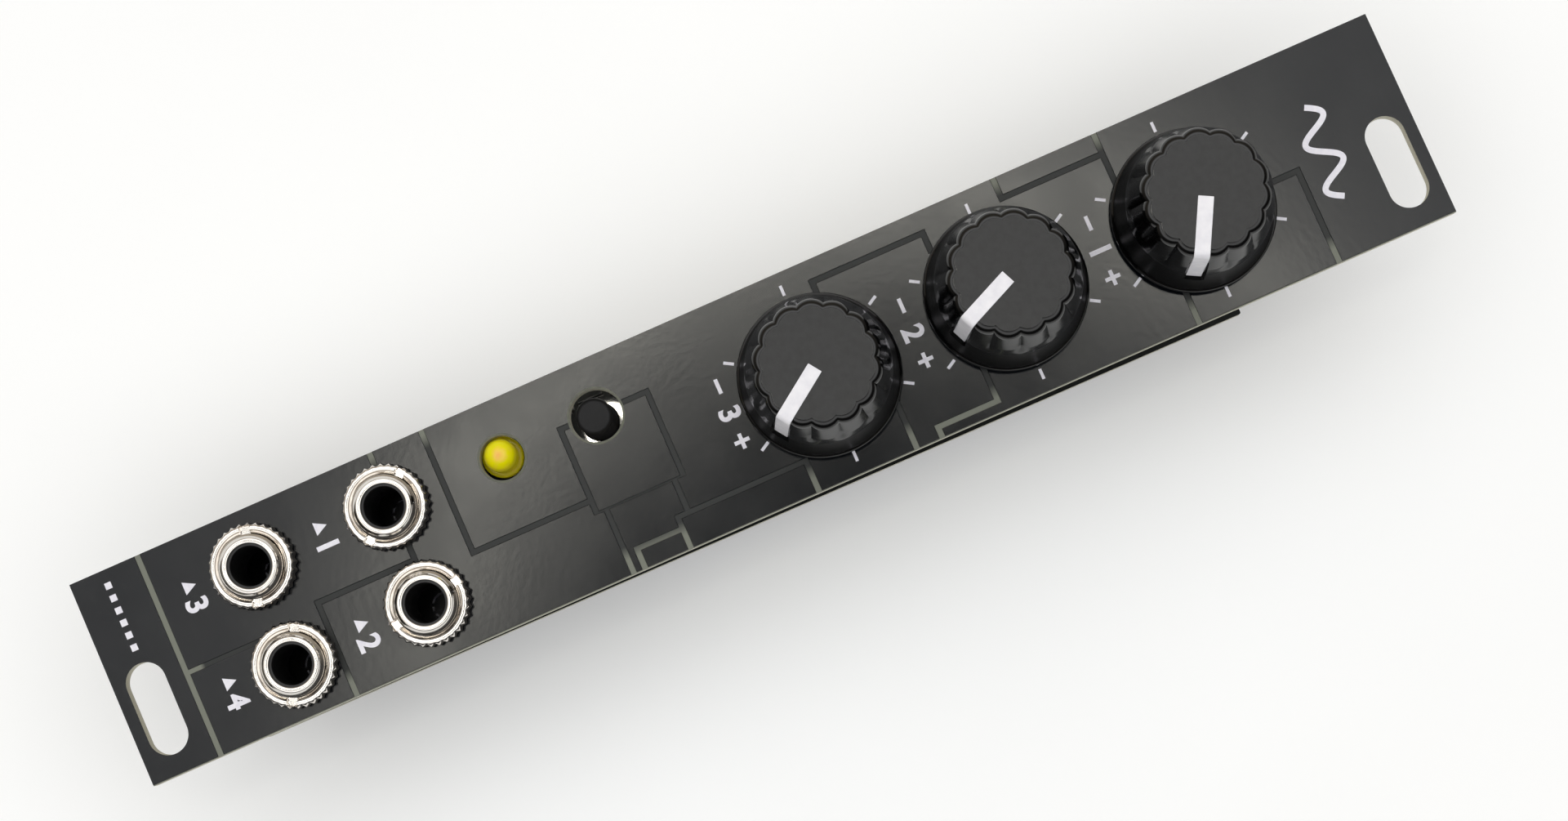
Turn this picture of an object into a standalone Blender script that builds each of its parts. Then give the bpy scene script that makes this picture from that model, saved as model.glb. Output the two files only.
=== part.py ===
"""A narrow eurorack module: three knobs, a push button, a light and four patch sockets on a panel
cut from circuit board, with the main board and a small controller board behind it.

The module lies on its back. X runs to the panel's right, Y to its top and Z out of its face.
The origin is below the panel's middle, on the surface that the module lies on.
Sizes are in millimetres, x from the panel's left edge, y from its lower edge and z from its face."""

import math

import bmesh
import bpy
from mathutils import Matrix, Vector

MM = 0.001
MERGE = 1e-5
SHARP = 35  # degrees; a fold sharper than this stays an edge
CLEAR = 1.0  # how far a cutter passes the face that it opens

# How closely pieces stand to each other
TOUCH = 0.3  # faces that rest on each other
FIT = 0.2  # a thread in its nut or wall
RUNNING = 0.08  # a shaft in its bearing
INLAY = 0.15  # the white bar in the knob

# Panel, 3U high and 4 HP wide
PANEL_W, PANEL_H, PANEL_T = 19.8, 128.5, 1.6
PANEL_CORNER = 0.15
SLOT_X, SLOT_LOW_Y, SLOT_HIGH_Y = 13.5, 3.0, 125.5
SLOT_LENGTH, SLOT_WIDTH = 8.8, 3.7
RAIL_H = 7.5  # what a case's rail covers behind each end

# Boards behind the panel
BOARD_SPACE = 10.0  # from the panel's back to the main board
BOARD_W, BOARD_LOW_Y, BOARD_H, BOARD_T = 19.6, 8.9, 100.0, 1.6
BOARD_CORNER = 1.0
BOARD_FACE = -PANEL_T - BOARD_SPACE
BOARD_BACK = BOARD_FACE - BOARD_T

# Patch sockets: middle of each bore
JACKS = {1: (5.25, 29.3), 2: (14.7, 29.3), 3: (5.3, 16.15), 4: (14.95, 16.15)}
JACK_HOLE_R = 3.15
JACK_W, JACK_BELOW, JACK_ABOVE = 9.0, 4.7, 5.7
JACK_WALL, JACK_ROOF = 0.9, 2.7
THREAD_R, THREAD_TOP, THREAD_CHAMFER = 2.9, 2.8, 0.4
BORE_R, BORE_MOUTH_R = 1.8, 2.1
FLANGE_R, FLANGE_T = 3.3, 0.6
JACK_NUT_R, JACK_NUT_TOP, JACK_NUT_LIP, JACK_NUT_CHAMFER = 3.9, 2.0, 3.2, 0.2
NUT_SLOT_W, NUT_SLOT_DEPTH = 1.2, 0.5
NUT_TURNS = {1: 43, 2: 13, 3: 77, 4: 66}  # degrees, as each nut was left
LEAF_T, LEAF_W, CONTACT_W = 0.3, 2.6, 1.0
LEAF_INSET = 1.3  # from the housing's inner wall
LEAF_BENDS = ((0.0, 0.0), (0.0, 1.6), (-0.7, 3.3), (-1.75, 3.9), (-0.9, 4.9))  # y, z from its foot
CONTACT_BENDS = ((0.0, 0.0), (0.0, 1.9), (-0.3, 2.6))
ARM_Y, ARM_LOW, ARM_HIGH, ARM_REACH = -0.25, 0.6, 1.4, 0.9

# Potentiometers: middle of each shaft, and the knob's pointer clockwise from the top
POTS = {1: (10.14, 106.76), 2: (9.78, 88.43), 3: (10.17, 69.9)}
POINTERS = {1: 118, 2: 156, 3: 145}
POT_HOLE_R = 3.7
CAN_W, CAN_BELOW, CAN_ABOVE, CAN_TOP = 9.6, 6.3, 4.9, -4.9
CAN_WALL = 0.6
WAFER_T = 1.2
SHAFT_R, SHAFT_TOP, SHAFT_CHAMFER = 2.98, 10.8, 0.3
ROTOR_R, ROTOR_TOP = 3.9, -6.3
POT_THREAD_R, POT_THREAD_TOP, COLLAR = 3.45, 2.3, 0.9
POT_NUT_FLATS, POT_NUT_T = 10.0, 1.9

# Knob, heights from the panel's face
KNOB_BOTTOM, KNOB_TOP = 0.9, 12.7
SKIRT_R, SKIRT_EDGE_TOP, SKIRT_BEVEL = 7.5, 1.4, (0.1, 0.12)
CONE_LOW, CONE_HIGH = (7.25, 1.6), (5.45, 7.5)  # radius, height
FLUTES, FLUTE_DEPTH, FLUTE_POINTS = 14, 0.36, 4
BODY_TOP_R, BODY_TAPER = 5.65, 0.07
KNOB_RINGS = (1.6, 3.2, 4.4, 5.1, 5.8, 6.6)  # heights of the mesh's rings below the cap's edge
CAP_BEVEL, BEVEL_STEPS = 0.5, 3
RECESS_R, RECESS_TOP = 6.25, 2.9
KNOB_BORE_R, KNOB_BORE_TOP = 3.25, 11.2
POINTER_W, POINTER_START, POINTER_END_Z, POINTER_T = 1.4, 0.35, 4.7, 0.7
POINTER_PROUD = (0.02, 0.05, 0.08)  # over the cap, the lobes and the cone

# Push button and light
BUTTON_X, BUTTON_Y = 5.15, 49.68
BUTTON_HOLE = (5.22, 49.92, 2.42)  # x, y, radius; the button stands a little off its middle
SWITCH_W, SWITCH_BASE_T, SWITCH_COVER_T = 6.0, 3.2, 0.3
SWITCH_WELL, COVER_INSET = 1.6, 0.2
PLUNGER_R, PLUNGER_TOP, PLUNGER_BEVEL, BUTTON_TRAVEL = 1.7, -0.6, 0.35, 0.3
PLUNGER_FLANGE, FLANGE_PLAY = 0.45, 0.25
LED_X, LED_Y = 5.05, 40.52
LED_HOLE = (5.3, 40.6, 2.05)
LED_R, LED_TOP, LED_RIM_R, LED_RIM_TOP, LED_RIM_T = 1.5, 1.35, 1.9, -1.9, 1.0
LED_STEP = 15  # degrees between the rings of its dome
LEAD_W, LEAD_PITCH = 0.5, 2.54

# Controller board and what else is on the main board's back
STRIP_W, STRIP_T, STRIP_PINS, PIN_PITCH = 2.5, 2.54, 15, 2.54
MICRO_W, MICRO_H, MICRO_T, MICRO_Y, MICRO_CORNER = 18.0, 43.2, 1.6, 72.0, 0.5
MICRO_FACE = BOARD_BACK - TOUCH - STRIP_T - TOUCH
MICRO_BACK = MICRO_FACE - MICRO_T
STRIP_SPACING = 15.24
CHIP_W, CHIP_T, CHIP_UP, CHIP_TURN = 7.0, 1.0, 3.0, 45
USB_W, USB_L, USB_T, USB_WALL, USB_OVERHANG, USB_BACK = 7.6, 9.2, 3.86, 0.4, 0.9, 3.0
RESET_W, RESET_L, RESET_T, RESET_DOWN = 3.6, 6.0, 1.7, 14.4
RESET_R, RESET_STAND, RESET_FLOOR, RESET_BEVEL, RESET_TRAVEL = 0.9, 0.7, 0.4, 0.15, 0.2
HEADER_W, HEADER_L, HEADER_WALL, HEADER_FLOOR, HEADER_Y = 8.8, 20.2, 1.1, 2.2, 27.5
HEADER_KEY_W = 4.2
CAPACITOR_R, CAPACITOR_H, CAPACITOR_Y, CAPACITOR_ROUND = 2.5, 7.0, 43.0, 0.3
CAPACITOR_GROOVE = (0.25, 0.4, 0.6)  # its depth, half its width and the collar below it
CAPACITOR_XS = (5.2, 14.6)

DEPTH = -(MICRO_BACK - TOUCH - USB_T)  # from the panel's face to the lowest point
ROUND, ROUND_FINE = 24, 32  # sides of a round shape

FINISHES = {
    "solder_mask": ("#3b3b3c", 0.35, 0.0),
    "board_mask": ("#101512", 0.4, 0.0),
    "black_nylon": ("#121213", 0.45, 0.0),
    "nickel_plate": ("#c9c4ba", 0.2, 1.0),
    "phosphor_bronze": ("#b78a4e", 0.3, 1.0),
    "tin_plate": ("#b8b8b6", 0.35, 1.0),
    "phenolic_wafer": ("#5a3a22", 0.6, 0.0),
    "knob_black": ("#2b2b2b", 0.5, 0.0),
    "pointer_white": ("#eeeef0", 0.5, 0.0),
    "button_black": ("#1a1a1b", 0.5, 0.0),
    "lens_yellow": ("#e2cf12", 0.15, 0.0),
    "chip_epoxy": ("#17181a", 0.6, 0.0),
    "controller_blue": ("#123a6b", 0.4, 0.0),
    "capacitor_sleeve": ("#1d1d24", 0.4, 0.0),
}


def clear_scene():
    for thing in list(bpy.data.objects):
        bpy.data.objects.remove(thing, do_unlink=True)


def linear(hex_colour):
    """The linear value of each channel of an sRGB hex colour."""
    channels = [int(hex_colour[i : i + 2], 16) / 255 for i in (1, 3, 5)]
    return [c / 12.92 if c <= 0.04045 else ((c + 0.055) / 1.055) ** 2.4 for c in channels]


def make_finish(name):
    colour, roughness, metallic = FINISHES[name]
    material = bpy.data.materials.new(name)
    material.use_nodes = True
    shader = material.node_tree.nodes["Principled BSDF"]
    shader.inputs["Base Color"].default_value = (*linear(colour), 1)
    shader.inputs["Roughness"].default_value = roughness
    shader.inputs["Metallic"].default_value = metallic
    return material


def place(x, y, z=0.0):
    """A point given from the panel's lower left corner and face, in the part's own frame."""
    return Vector((x - PANEL_W / 2, y - PANEL_H / 2, z + DEPTH)) * MM


# Shapes, each made as a bmesh in millimetres


def turned(profile, steps=ROUND, ring=False):
    """A profile of (radius, height) points spun round Z; a ring's profile closes on itself."""
    bm = bmesh.new()
    points = [bm.verts.new((r, 0, z)) for r, z in profile]
    ends = points[1:] + points[:1] if ring else points[1:]
    edges = [bm.edges.new(pair) for pair in zip(points, ends)]
    bmesh.ops.spin(
        bm, geom=points + edges, cent=(0, 0, 0), axis=(0, 0, 1), angle=math.tau, steps=steps, use_merge=True
    )
    bmesh.ops.remove_doubles(bm, verts=bm.verts, dist=MERGE)
    bmesh.ops.recalc_face_normals(bm, faces=bm.faces)
    return bm


def block(x, y, z):
    """A box between the two values of each pair, given along x, y and z."""
    bm = bmesh.new()
    bmesh.ops.create_cube(bm, size=1)
    for vert in bm.verts:
        vert.co = [pair[0] if part < 0 else pair[1] for part, pair in zip(vert.co, (x, y, z))]
    return bm


def prism(outline, low, high):
    """A counterclockwise outline of (x, y) points extruded from the low height to the high one."""
    bm = bmesh.new()
    bottom = [bm.verts.new((x, y, low)) for x, y in outline]
    top = [bm.verts.new((x, y, high)) for x, y in outline]
    for i in range(len(outline)):
        bm.faces.new((bottom[i - 1], bottom[i], top[i], top[i - 1]))
    bm.faces.new(bottom[::-1])
    bm.faces.new(top)
    return bm


def plug(radius, low, high, x=0.0, y=0.0, steps=ROUND):
    """A round cutter that stands on the low height."""
    return prism(arc(x, y, radius, 0, 360, steps)[:-1], low, high)


def arc(x, y, radius, start, end, steps):
    """Points along an arc between two angles in degrees, both ends included."""
    angles = [math.radians(start + (end - start) * i / steps) for i in range(steps + 1)]
    return [(x + radius * math.cos(a), y + radius * math.sin(a)) for a in angles]


def rounded_outline(width, height, corner, steps=3):
    """A rectangle's outline about its middle, with each corner rounded."""
    x, y = width / 2 - corner, height / 2 - corner
    centres = ((x, -y, -90), (x, y, 0), (-x, y, 90), (-x, -y, 180))
    return [point for cx, cy, a in centres for point in arc(cx, cy, corner, a, a + 90, steps)]


def slot_outline(x, y, length, width, steps=10):
    """A slot's outline, long in X, with half circles for its ends."""
    reach = (length - width) / 2
    right = arc(x + reach, y, width / 2, -90, 90, steps)
    return right + arc(x - reach, y, width / 2, 90, 270, steps)


def shifted(bm, x=0.0, y=0.0, z=0.0, turn=0.0):
    """The shape turned about Z by degrees, then moved."""
    bm.transform(Matrix.Translation((x, y, z)) @ Matrix.Rotation(math.radians(turn), 4, "Z"))
    return bm


def across(bm):
    """A prism drawn in (y, z) and extruded along x, turned from its drawing plane."""
    bm.transform(Matrix(((0, 0, 1, 0), (1, 0, 0, 0), (0, 1, 0, 0), (0, 0, 0, 1))))
    return bm


def together(*shapes):
    """Separate shapes in one mesh, for a cutter."""
    bm = bmesh.new()
    for shape in shapes:
        mesh = bpy.data.meshes.new("shape")
        shape.to_mesh(mesh)
        bm.from_mesh(mesh)
        bpy.data.meshes.remove(mesh)
    return bm


# Objects


def mesh_of(name, bm):
    bmesh.ops.scale(bm, vec=(MM, MM, MM), verts=bm.verts)
    mesh = bpy.data.meshes.new(name)
    bm.to_mesh(mesh)
    bm.free()
    return mesh


def stand(name, at, turn=0.0):
    """An empty at a place on the panel's face, which carries the pieces that belong together."""
    empty = bpy.data.objects.new(name, None)
    empty.location = place(*at)
    empty.rotation_euler.z = math.radians(turn)
    bpy.context.scene.collection.objects.link(empty)
    return empty


def node(name, bm, finish, at=(0, 0, 0), turn=0.0, smooth=False, on=None):
    """A named piece of the module. Its place is counted from the stand that carries it, or else
    from the panel's lower left corner."""
    mesh = mesh_of(name, bm)
    if smooth:
        mesh.shade_smooth()
        mesh.set_sharp_from_angle(angle=math.radians(SHARP))
    piece = bpy.data.objects.new(name, mesh)
    mesh.materials.append(bpy.data.materials.get(finish) or make_finish(finish))
    piece.parent = on
    piece.location = Vector(at) * MM if on else place(*at)
    piece.rotation_euler.z = math.radians(turn)
    bpy.context.scene.collection.objects.link(piece)
    return piece


def change(piece, bm, operation):
    """Cuts a shape from a piece, or joins it on; the shape shares the piece's place and turn."""
    helper = bpy.data.objects.new(f"{piece.name}_{operation.lower()}", mesh_of(piece.name, bm))
    helper.parent = piece.parent
    helper.location = piece.location
    helper.rotation_euler = piece.rotation_euler
    helper.hide_render = True
    helper.display_type = "WIRE"
    bpy.context.scene.collection.objects.link(helper)
    modifier = piece.modifiers.new(operation.title(), "BOOLEAN")
    modifier.operation = operation
    modifier.solver = "EXACT"
    modifier.object = helper


# Panel and main board


def make_panel():
    """A plate with its holes. Its flat faces are parted where the rails end, so that the strip
    that lies on each rail is a face of its own."""
    plate = prism(rounded_outline(PANEL_W, PANEL_H, PANEL_CORNER), -PANEL_T, 0)
    for y in (RAIL_H - PANEL_H / 2, PANEL_H / 2 - RAIL_H):
        whole = plate.verts[:] + plate.edges[:] + plate.faces[:]
        bmesh.ops.bisect_plane(plate, geom=whole, plane_co=(0, y, 0), plane_no=(0, 1, 0))
    panel = node("front_panel", plate, "solder_mask", (PANEL_W / 2, PANEL_H / 2))
    low, high = -PANEL_T - CLEAR, CLEAR
    cutters = [plug(JACK_HOLE_R, low, high, x, y) for x, y in JACKS.values()]
    cutters += [plug(POT_HOLE_R, low, high, x, y) for x, y in POTS.values()]
    cutters += [plug(r, low, high, x, y, ROUND_FINE) for x, y, r in (BUTTON_HOLE, LED_HOLE)]
    for y in (SLOT_LOW_Y, SLOT_HIGH_Y):
        cutters.append(prism(slot_outline(SLOT_X, y, SLOT_LENGTH, SLOT_WIDTH), low, high))
    change(panel, shifted(together(*cutters), -PANEL_W / 2, -PANEL_H / 2), "DIFFERENCE")


def make_main_board():
    outline = rounded_outline(BOARD_W, BOARD_H, BOARD_CORNER)
    middle = (PANEL_W / 2, BOARD_LOW_Y + BOARD_H / 2)
    node("main_board", prism(outline, BOARD_BACK, BOARD_FACE), "board_mask", middle)


# Patch socket: a nylon body, a threaded bush with its nut, and two contacts


def make_jack_housing(name, jack):
    half = JACK_W / 2
    low, high = BOARD_FACE + TOUCH, -PANEL_T - TOUCH
    body = node(name, block((-half, half), (-JACK_BELOW, JACK_ABOVE), (low, high)), "black_nylon", on=jack)
    inside, walls = half - JACK_WALL, (-JACK_BELOW + JACK_WALL, JACK_ABOVE - JACK_WALL)
    change(body, block((-inside, inside), walls, (low - CLEAR, high - JACK_ROOF)), "DIFFERENCE")
    change(body, plug(THREAD_R + FIT, low, high + CLEAR), "DIFFERENCE")


def make_jack_bush(name, jack):
    flange_top = -PANEL_T - TOUCH - JACK_ROOF - TOUCH
    foot = flange_top - FLANGE_T
    profile = [
        (BORE_R, foot),
        (FLANGE_R, foot),
        (FLANGE_R, flange_top),
        (THREAD_R, flange_top),
        (THREAD_R, THREAD_TOP - THREAD_CHAMFER),
        (THREAD_R - THREAD_CHAMFER, THREAD_TOP),
        (BORE_MOUTH_R, THREAD_TOP),
        (BORE_R, THREAD_TOP - THREAD_CHAMFER),
    ]
    node(name, turned(profile, ring=True), "nickel_plate", smooth=True, on=jack)


def make_jack_nut(name, jack, turn):
    bore = THREAD_R + FIT
    top, chamfer = JACK_NUT_TOP, JACK_NUT_CHAMFER
    profile = [
        (bore, TOUCH),
        (JACK_NUT_R, TOUCH),
        (JACK_NUT_R, top - chamfer),
        (JACK_NUT_R - chamfer, top),
        (JACK_NUT_LIP, top),
        (bore, top - 3 * chamfer),
    ]
    shape = turned(profile, ROUND_FINE, ring=True)
    nut = node(name, shape, "nickel_plate", turn=turn, smooth=True, on=jack)
    reach, floor = JACK_NUT_R + CLEAR, top - NUT_SLOT_DEPTH
    slot = block((-NUT_SLOT_W / 2, NUT_SLOT_W / 2), (-reach, reach), (floor, top + CLEAR))
    change(nut, slot, "DIFFERENCE")


def leaf(points, thickness=LEAF_T):
    """A bent strip's outline in (y, z): the points along it, and back at its thickness."""
    strip = [Vector(point) for point in points]
    offsets = []
    for i, point in enumerate(strip):
        before = (point - strip[i - 1]).normalized() if i else (strip[1] - point).normalized()
        after = (strip[i + 1] - point).normalized() if i + 1 < len(strip) else before
        bisector = (before + after).normalized()
        offsets.append(point + Vector((-bisector.y, bisector.x)) * thickness / bisector.dot(after))
    return [tuple(p) for p in strip] + [tuple(p) for p in reversed(offsets)]


def make_jack_contacts(number, jack):
    """The sprung leaf presses on the plug's tip. The fixed one touches the leaf's side arm while no
    plug is in, and the leaf swings away from it about its foot as a plug pushes it out."""
    foot = BOARD_FACE + 2 * TOUCH
    hinge_y = JACK_ABOVE - JACK_WALL - LEAF_INSET
    side = LEAF_W / 2
    strip = across(prism(leaf(LEAF_BENDS), -side, side))
    spring = node(f"jack_{number}_tip_spring", strip, "phosphor_bronze", (0, hinge_y, foot), on=jack)
    arm = block((side - FIT, side + ARM_REACH), (ARM_Y, ARM_Y + LEAF_T), (ARM_LOW, ARM_HIGH))
    change(spring, arm, "UNION")
    strip = across(prism(leaf(CONTACT_BENDS), -CONTACT_W / 2, CONTACT_W / 2))
    contact_at = (side + ARM_REACH, hinge_y + ARM_Y - TOUCH, foot)
    node(f"jack_{number}_switch_contact", strip, "phosphor_bronze", contact_at, on=jack)


def make_jacks():
    for number, at in JACKS.items():
        jack = stand(f"jack_{number}", at)
        make_jack_housing(f"jack_{number}_housing", jack)
        make_jack_bush(f"jack_{number}_bush", jack)
        make_jack_nut(f"jack_{number}_nut", jack, NUT_TURNS[number])
        make_jack_contacts(number, jack)


# Potentiometer: a wafer with the track, a metal can, a threaded bush, a shaft and its nut


def make_pot_body(number, pot):
    half = CAN_W / 2
    seat = BOARD_FACE + TOUCH
    inside, low, high = half - CAN_WALL, -CAN_BELOW + CAN_WALL, CAN_ABOVE - CAN_WALL
    wafer = block((-inside + TOUCH, inside - TOUCH), (low + TOUCH, high - TOUCH), (seat, seat + WAFER_T))
    node(f"pot_{number}_wafer", wafer, "phenolic_wafer", on=pot)

    shell = block((-half, half), (-CAN_BELOW, CAN_ABOVE), (seat, CAN_TOP))
    can = node(f"pot_{number}_can", shell, "tin_plate", on=pot)
    room = block((-inside, inside), (low, high), (seat - CLEAR, CAN_TOP - CAN_WALL))
    change(can, room, "DIFFERENCE")
    change(can, plug(SHAFT_R + FIT, seat, CAN_TOP + CLEAR), "DIFFERENCE")

    bore = SHAFT_R + RUNNING
    collar = CAN_TOP + TOUCH
    profile = [
        (bore, collar),
        (POT_THREAD_R + COLLAR, collar),
        (POT_THREAD_R + COLLAR, collar + COLLAR),
        (POT_THREAD_R, collar + COLLAR),
        (POT_THREAD_R, POT_THREAD_TOP),
        (bore, POT_THREAD_TOP),
    ]
    node(f"pot_{number}_bush", turned(profile, ring=True), "nickel_plate", smooth=True, on=pot)

    corner = POT_NUT_FLATS / 2 / math.cos(math.pi / 6)
    hexagon = plug(corner, TOUCH, TOUCH + POT_NUT_T, steps=6)
    nut = node(f"pot_{number}_nut", hexagon, "nickel_plate", on=pot)
    change(nut, plug(POT_THREAD_R + FIT, -CLEAR, POT_NUT_T + CLEAR), "DIFFERENCE")


def make_shaft(number, turning):
    rotor_low = BOARD_FACE + TOUCH + WAFER_T + TOUCH
    profile = [
        (0, SHAFT_TOP),
        (SHAFT_R - SHAFT_CHAMFER, SHAFT_TOP),
        (SHAFT_R, SHAFT_TOP - SHAFT_CHAMFER),
        (SHAFT_R, ROTOR_TOP),
        (ROTOR_R, ROTOR_TOP),
        (ROTOR_R, rotor_low),
        (0, rotor_low),
    ]
    node(f"pot_{number}_shaft", turned(profile), "tin_plate", smooth=True, on=turning)


# Knob: fourteen flutes that run out on a cone, a thin skirt edge and a white bar


def cone_radius(height):
    """The skirt's cone, which ends in the skirt's edge."""
    (low_r, low), (high_r, high) = CONE_LOW, CONE_HIGH
    share = min(max((high - height) / (high - low), 0), 1)
    return high_r + (low_r - high_r) * share


def knob_radius(angle, height):
    """The larger of the cone and the fluted body. Each flute is a sharp valley between two rounded
    lobes: the radius drops from its lobe value by one minus the sine of the angle in the lobe.
    Near the cap it also follows a quarter circle inwards."""
    lobe = BODY_TOP_R + (KNOB_TOP - height) * BODY_TAPER
    valley = FLUTE_DEPTH * (1 - abs(math.sin(FLUTES * (angle - math.pi / 2) / 2)))
    bevel = min(max(0, height - (KNOB_TOP - CAP_BEVEL)) / CAP_BEVEL, 1)
    return max(lobe - valley, cone_radius(height)) - CAP_BEVEL * (1 - math.sqrt(1 - bevel**2))


def make_knob_shape():
    """Rings of points joined from the skirt's edge to the cap, both ends closed by a face."""
    steps = FLUTES * FLUTE_POINTS
    inwards, upwards = SKIRT_BEVEL
    edge = [(KNOB_BOTTOM, SKIRT_R), (SKIRT_EDGE_TOP, SKIRT_R), (SKIRT_EDGE_TOP + upwards, SKIRT_R - inwards)]
    quarter = [math.sin(math.pi / 2 * i / BEVEL_STEPS) for i in range(BEVEL_STEPS + 1)]
    heights = [*KNOB_RINGS, *(KNOB_TOP - CAP_BEVEL * (1 - s) for s in quarter)]
    bm = bmesh.new()
    rings = []
    for height, fixed in edge + [(h, None) for h in heights]:
        ring = []
        for i in range(steps):
            angle = math.tau * i / steps + math.pi / 2
            r = fixed or knob_radius(angle, height)
            ring.append(bm.verts.new((r * math.cos(angle), r * math.sin(angle), height)))
        rings.append(ring)
    for low, high in zip(rings, rings[1:]):
        for i in range(steps):
            j = (i + 1) % steps
            bm.faces.new((low[i], low[j], high[j], high[i]))
    bm.faces.new(reversed(rings[0]))
    bm.faces.new(rings[-1])
    return bm


def pointer_outline(grow):
    """The bar's outline in (y, z): up the side from the cone, over the cap's edge, along the cap
    and back on the inside."""
    over_cap, over_lobes, over_cone = POINTER_PROUD
    cap, bend = KNOB_TOP + over_cap + grow, BODY_TOP_R + over_lobes + grow
    start, low = POINTER_START - grow, POINTER_END_Z - grow
    end = cone_radius(POINTER_END_Z) + over_cone + grow
    depth = POINTER_T + 2 * grow
    over_edge = arc(bend - CAP_BEVEL, cap - CAP_BEVEL, CAP_BEVEL, 0, 90, 2)
    outer = [(end, low), *over_edge, (start, cap)]
    return outer + [(start, cap - depth), (bend - depth, cap - depth), (end - depth, low)]


def make_knob(number, turning):
    knob = node(f"pot_{number}_knob", make_knob_shape(), "knob_black", smooth=True, on=turning)
    change(knob, plug(KNOB_BORE_R, 0, KNOB_BORE_TOP), "DIFFERENCE")
    change(knob, plug(RECESS_R, -CLEAR, RECESS_TOP), "DIFFERENCE")
    half = POINTER_W / 2 + INLAY
    change(knob, across(prism(pointer_outline(INLAY), -half, half)), "DIFFERENCE")
    bar = across(prism(pointer_outline(0), -POINTER_W / 2, POINTER_W / 2))
    node(f"pot_{number}_pointer", bar, "pointer_white", on=turning)


def make_pots():
    for number, at in POTS.items():
        make_pot_body(number, stand(f"pot_{number}", at))
        turning = stand(f"pot_{number}_turning", at, -POINTERS[number])
        make_shaft(number, turning)
        make_knob(number, turning)


# Push button and light


def make_button():
    at = (BUTTON_X, BUTTON_Y)
    half = SWITCH_W / 2
    low = BOARD_FACE + TOUCH
    top = low + SWITCH_BASE_T
    base = node("button_base", block((-half, half), (-half, half), (low, top)), "black_nylon", at)
    flange, well = PLUNGER_R + PLUNGER_FLANGE, top - SWITCH_WELL
    change(base, plug(flange + FLANGE_PLAY, well, top + CLEAR), "DIFFERENCE")

    lid, edge = top + TOUCH, half - COVER_INSET
    plate = block((-edge, edge), (-edge, edge), (lid, lid + SWITCH_COVER_T))
    cover = node("button_cover", plate, "nickel_plate", at)
    change(cover, plug(PLUNGER_R + FIT, lid - CLEAR, lid + CLEAR), "DIFFERENCE")

    foot, shoulder = well + BUTTON_TRAVEL + TOUCH, top - TOUCH
    profile = [
        (0, PLUNGER_TOP),
        (PLUNGER_R - PLUNGER_BEVEL, PLUNGER_TOP),
        (PLUNGER_R, PLUNGER_TOP - PLUNGER_BEVEL),
        (PLUNGER_R, shoulder),
        (flange, shoulder),
        (flange, foot),
        (0, foot),
    ]
    node("button_plunger", turned(profile), "button_black", at, smooth=True)


def make_light():
    at = (LED_X, LED_Y)
    base = LED_RIM_TOP - LED_RIM_T
    dome = arc(0, LED_TOP - LED_R, LED_R, 0, 90, 90 // LED_STEP)
    profile = [(0, LED_TOP), *dome[-2::-1], (LED_R, LED_RIM_TOP), (LED_RIM_R, LED_RIM_TOP)]
    profile += [(LED_RIM_R, base), (0, base)]
    node("led_lens", turned(profile), "lens_yellow", at, smooth=True)
    low, high = BOARD_FACE + TOUCH, base - TOUCH
    half = LEAD_W / 2
    for name, side in (("led_anode_lead", -1), ("led_cathode_lead", 1)):
        lead = block((-half, half), (-half, half), (low, high))
        node(name, lead, "tin_plate", (LED_X + side * LEAD_PITCH / 2, LED_Y))


# Back of the main board


def make_controller():
    middle = (PANEL_W / 2, MICRO_Y)
    outline = rounded_outline(MICRO_W, MICRO_H, MICRO_CORNER)
    node("controller_board", prism(outline, MICRO_BACK, MICRO_FACE), "controller_blue", middle)

    length = STRIP_PINS * PIN_PITCH
    strip_z = (MICRO_FACE + TOUCH, MICRO_FACE + TOUCH + STRIP_T)
    for name, side in (("header_strip_left", -1), ("header_strip_right", 1)):
        strip = block((-STRIP_W / 2, STRIP_W / 2), (-length / 2, length / 2), strip_z)
        node(name, strip, "black_nylon", (PANEL_W / 2 + side * STRIP_SPACING / 2, MICRO_Y))

    seat = MICRO_BACK - TOUCH
    half = CHIP_W / 2
    chip = block((-half, half), (-half, half), (seat - CHIP_T, seat))
    node("controller_chip", chip, "chip_epoxy", (PANEL_W / 2, MICRO_Y + CHIP_UP), turn=CHIP_TURN)

    usb_y = MICRO_Y + MICRO_H / 2 + USB_OVERHANG - USB_L
    shell = block((-USB_W / 2, USB_W / 2), (0, USB_L), (seat - USB_T, seat))
    usb = node("usb_socket", shell, "nickel_plate", (PANEL_W / 2, usb_y))
    inside, low, high = USB_W / 2 - USB_WALL, seat - USB_T + USB_WALL, seat - USB_WALL
    change(usb, block((-inside, inside), (USB_BACK, USB_L + CLEAR), (low, high)), "DIFFERENCE")


def make_reset_button():
    seat = MICRO_BACK - TOUCH
    at = (PANEL_W / 2, MICRO_Y - RESET_DOWN)
    floor = seat - RESET_T
    base = block((-RESET_L / 2, RESET_L / 2), (-RESET_W / 2, RESET_W / 2), (floor, seat))
    reset = node("reset_base", base, "black_nylon", at)
    well = seat - RESET_FLOOR
    change(reset, plug(RESET_R + FIT, floor - CLEAR, well), "DIFFERENCE")
    foot, tip = well - RESET_TRAVEL - TOUCH, floor - RESET_STAND
    profile = [(0, foot), (RESET_R, foot), (RESET_R, tip + RESET_BEVEL)]
    profile += [(RESET_R - RESET_BEVEL, tip), (0, tip)]
    node("reset_plunger", turned(profile), "pointer_white", at, smooth=True)


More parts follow.
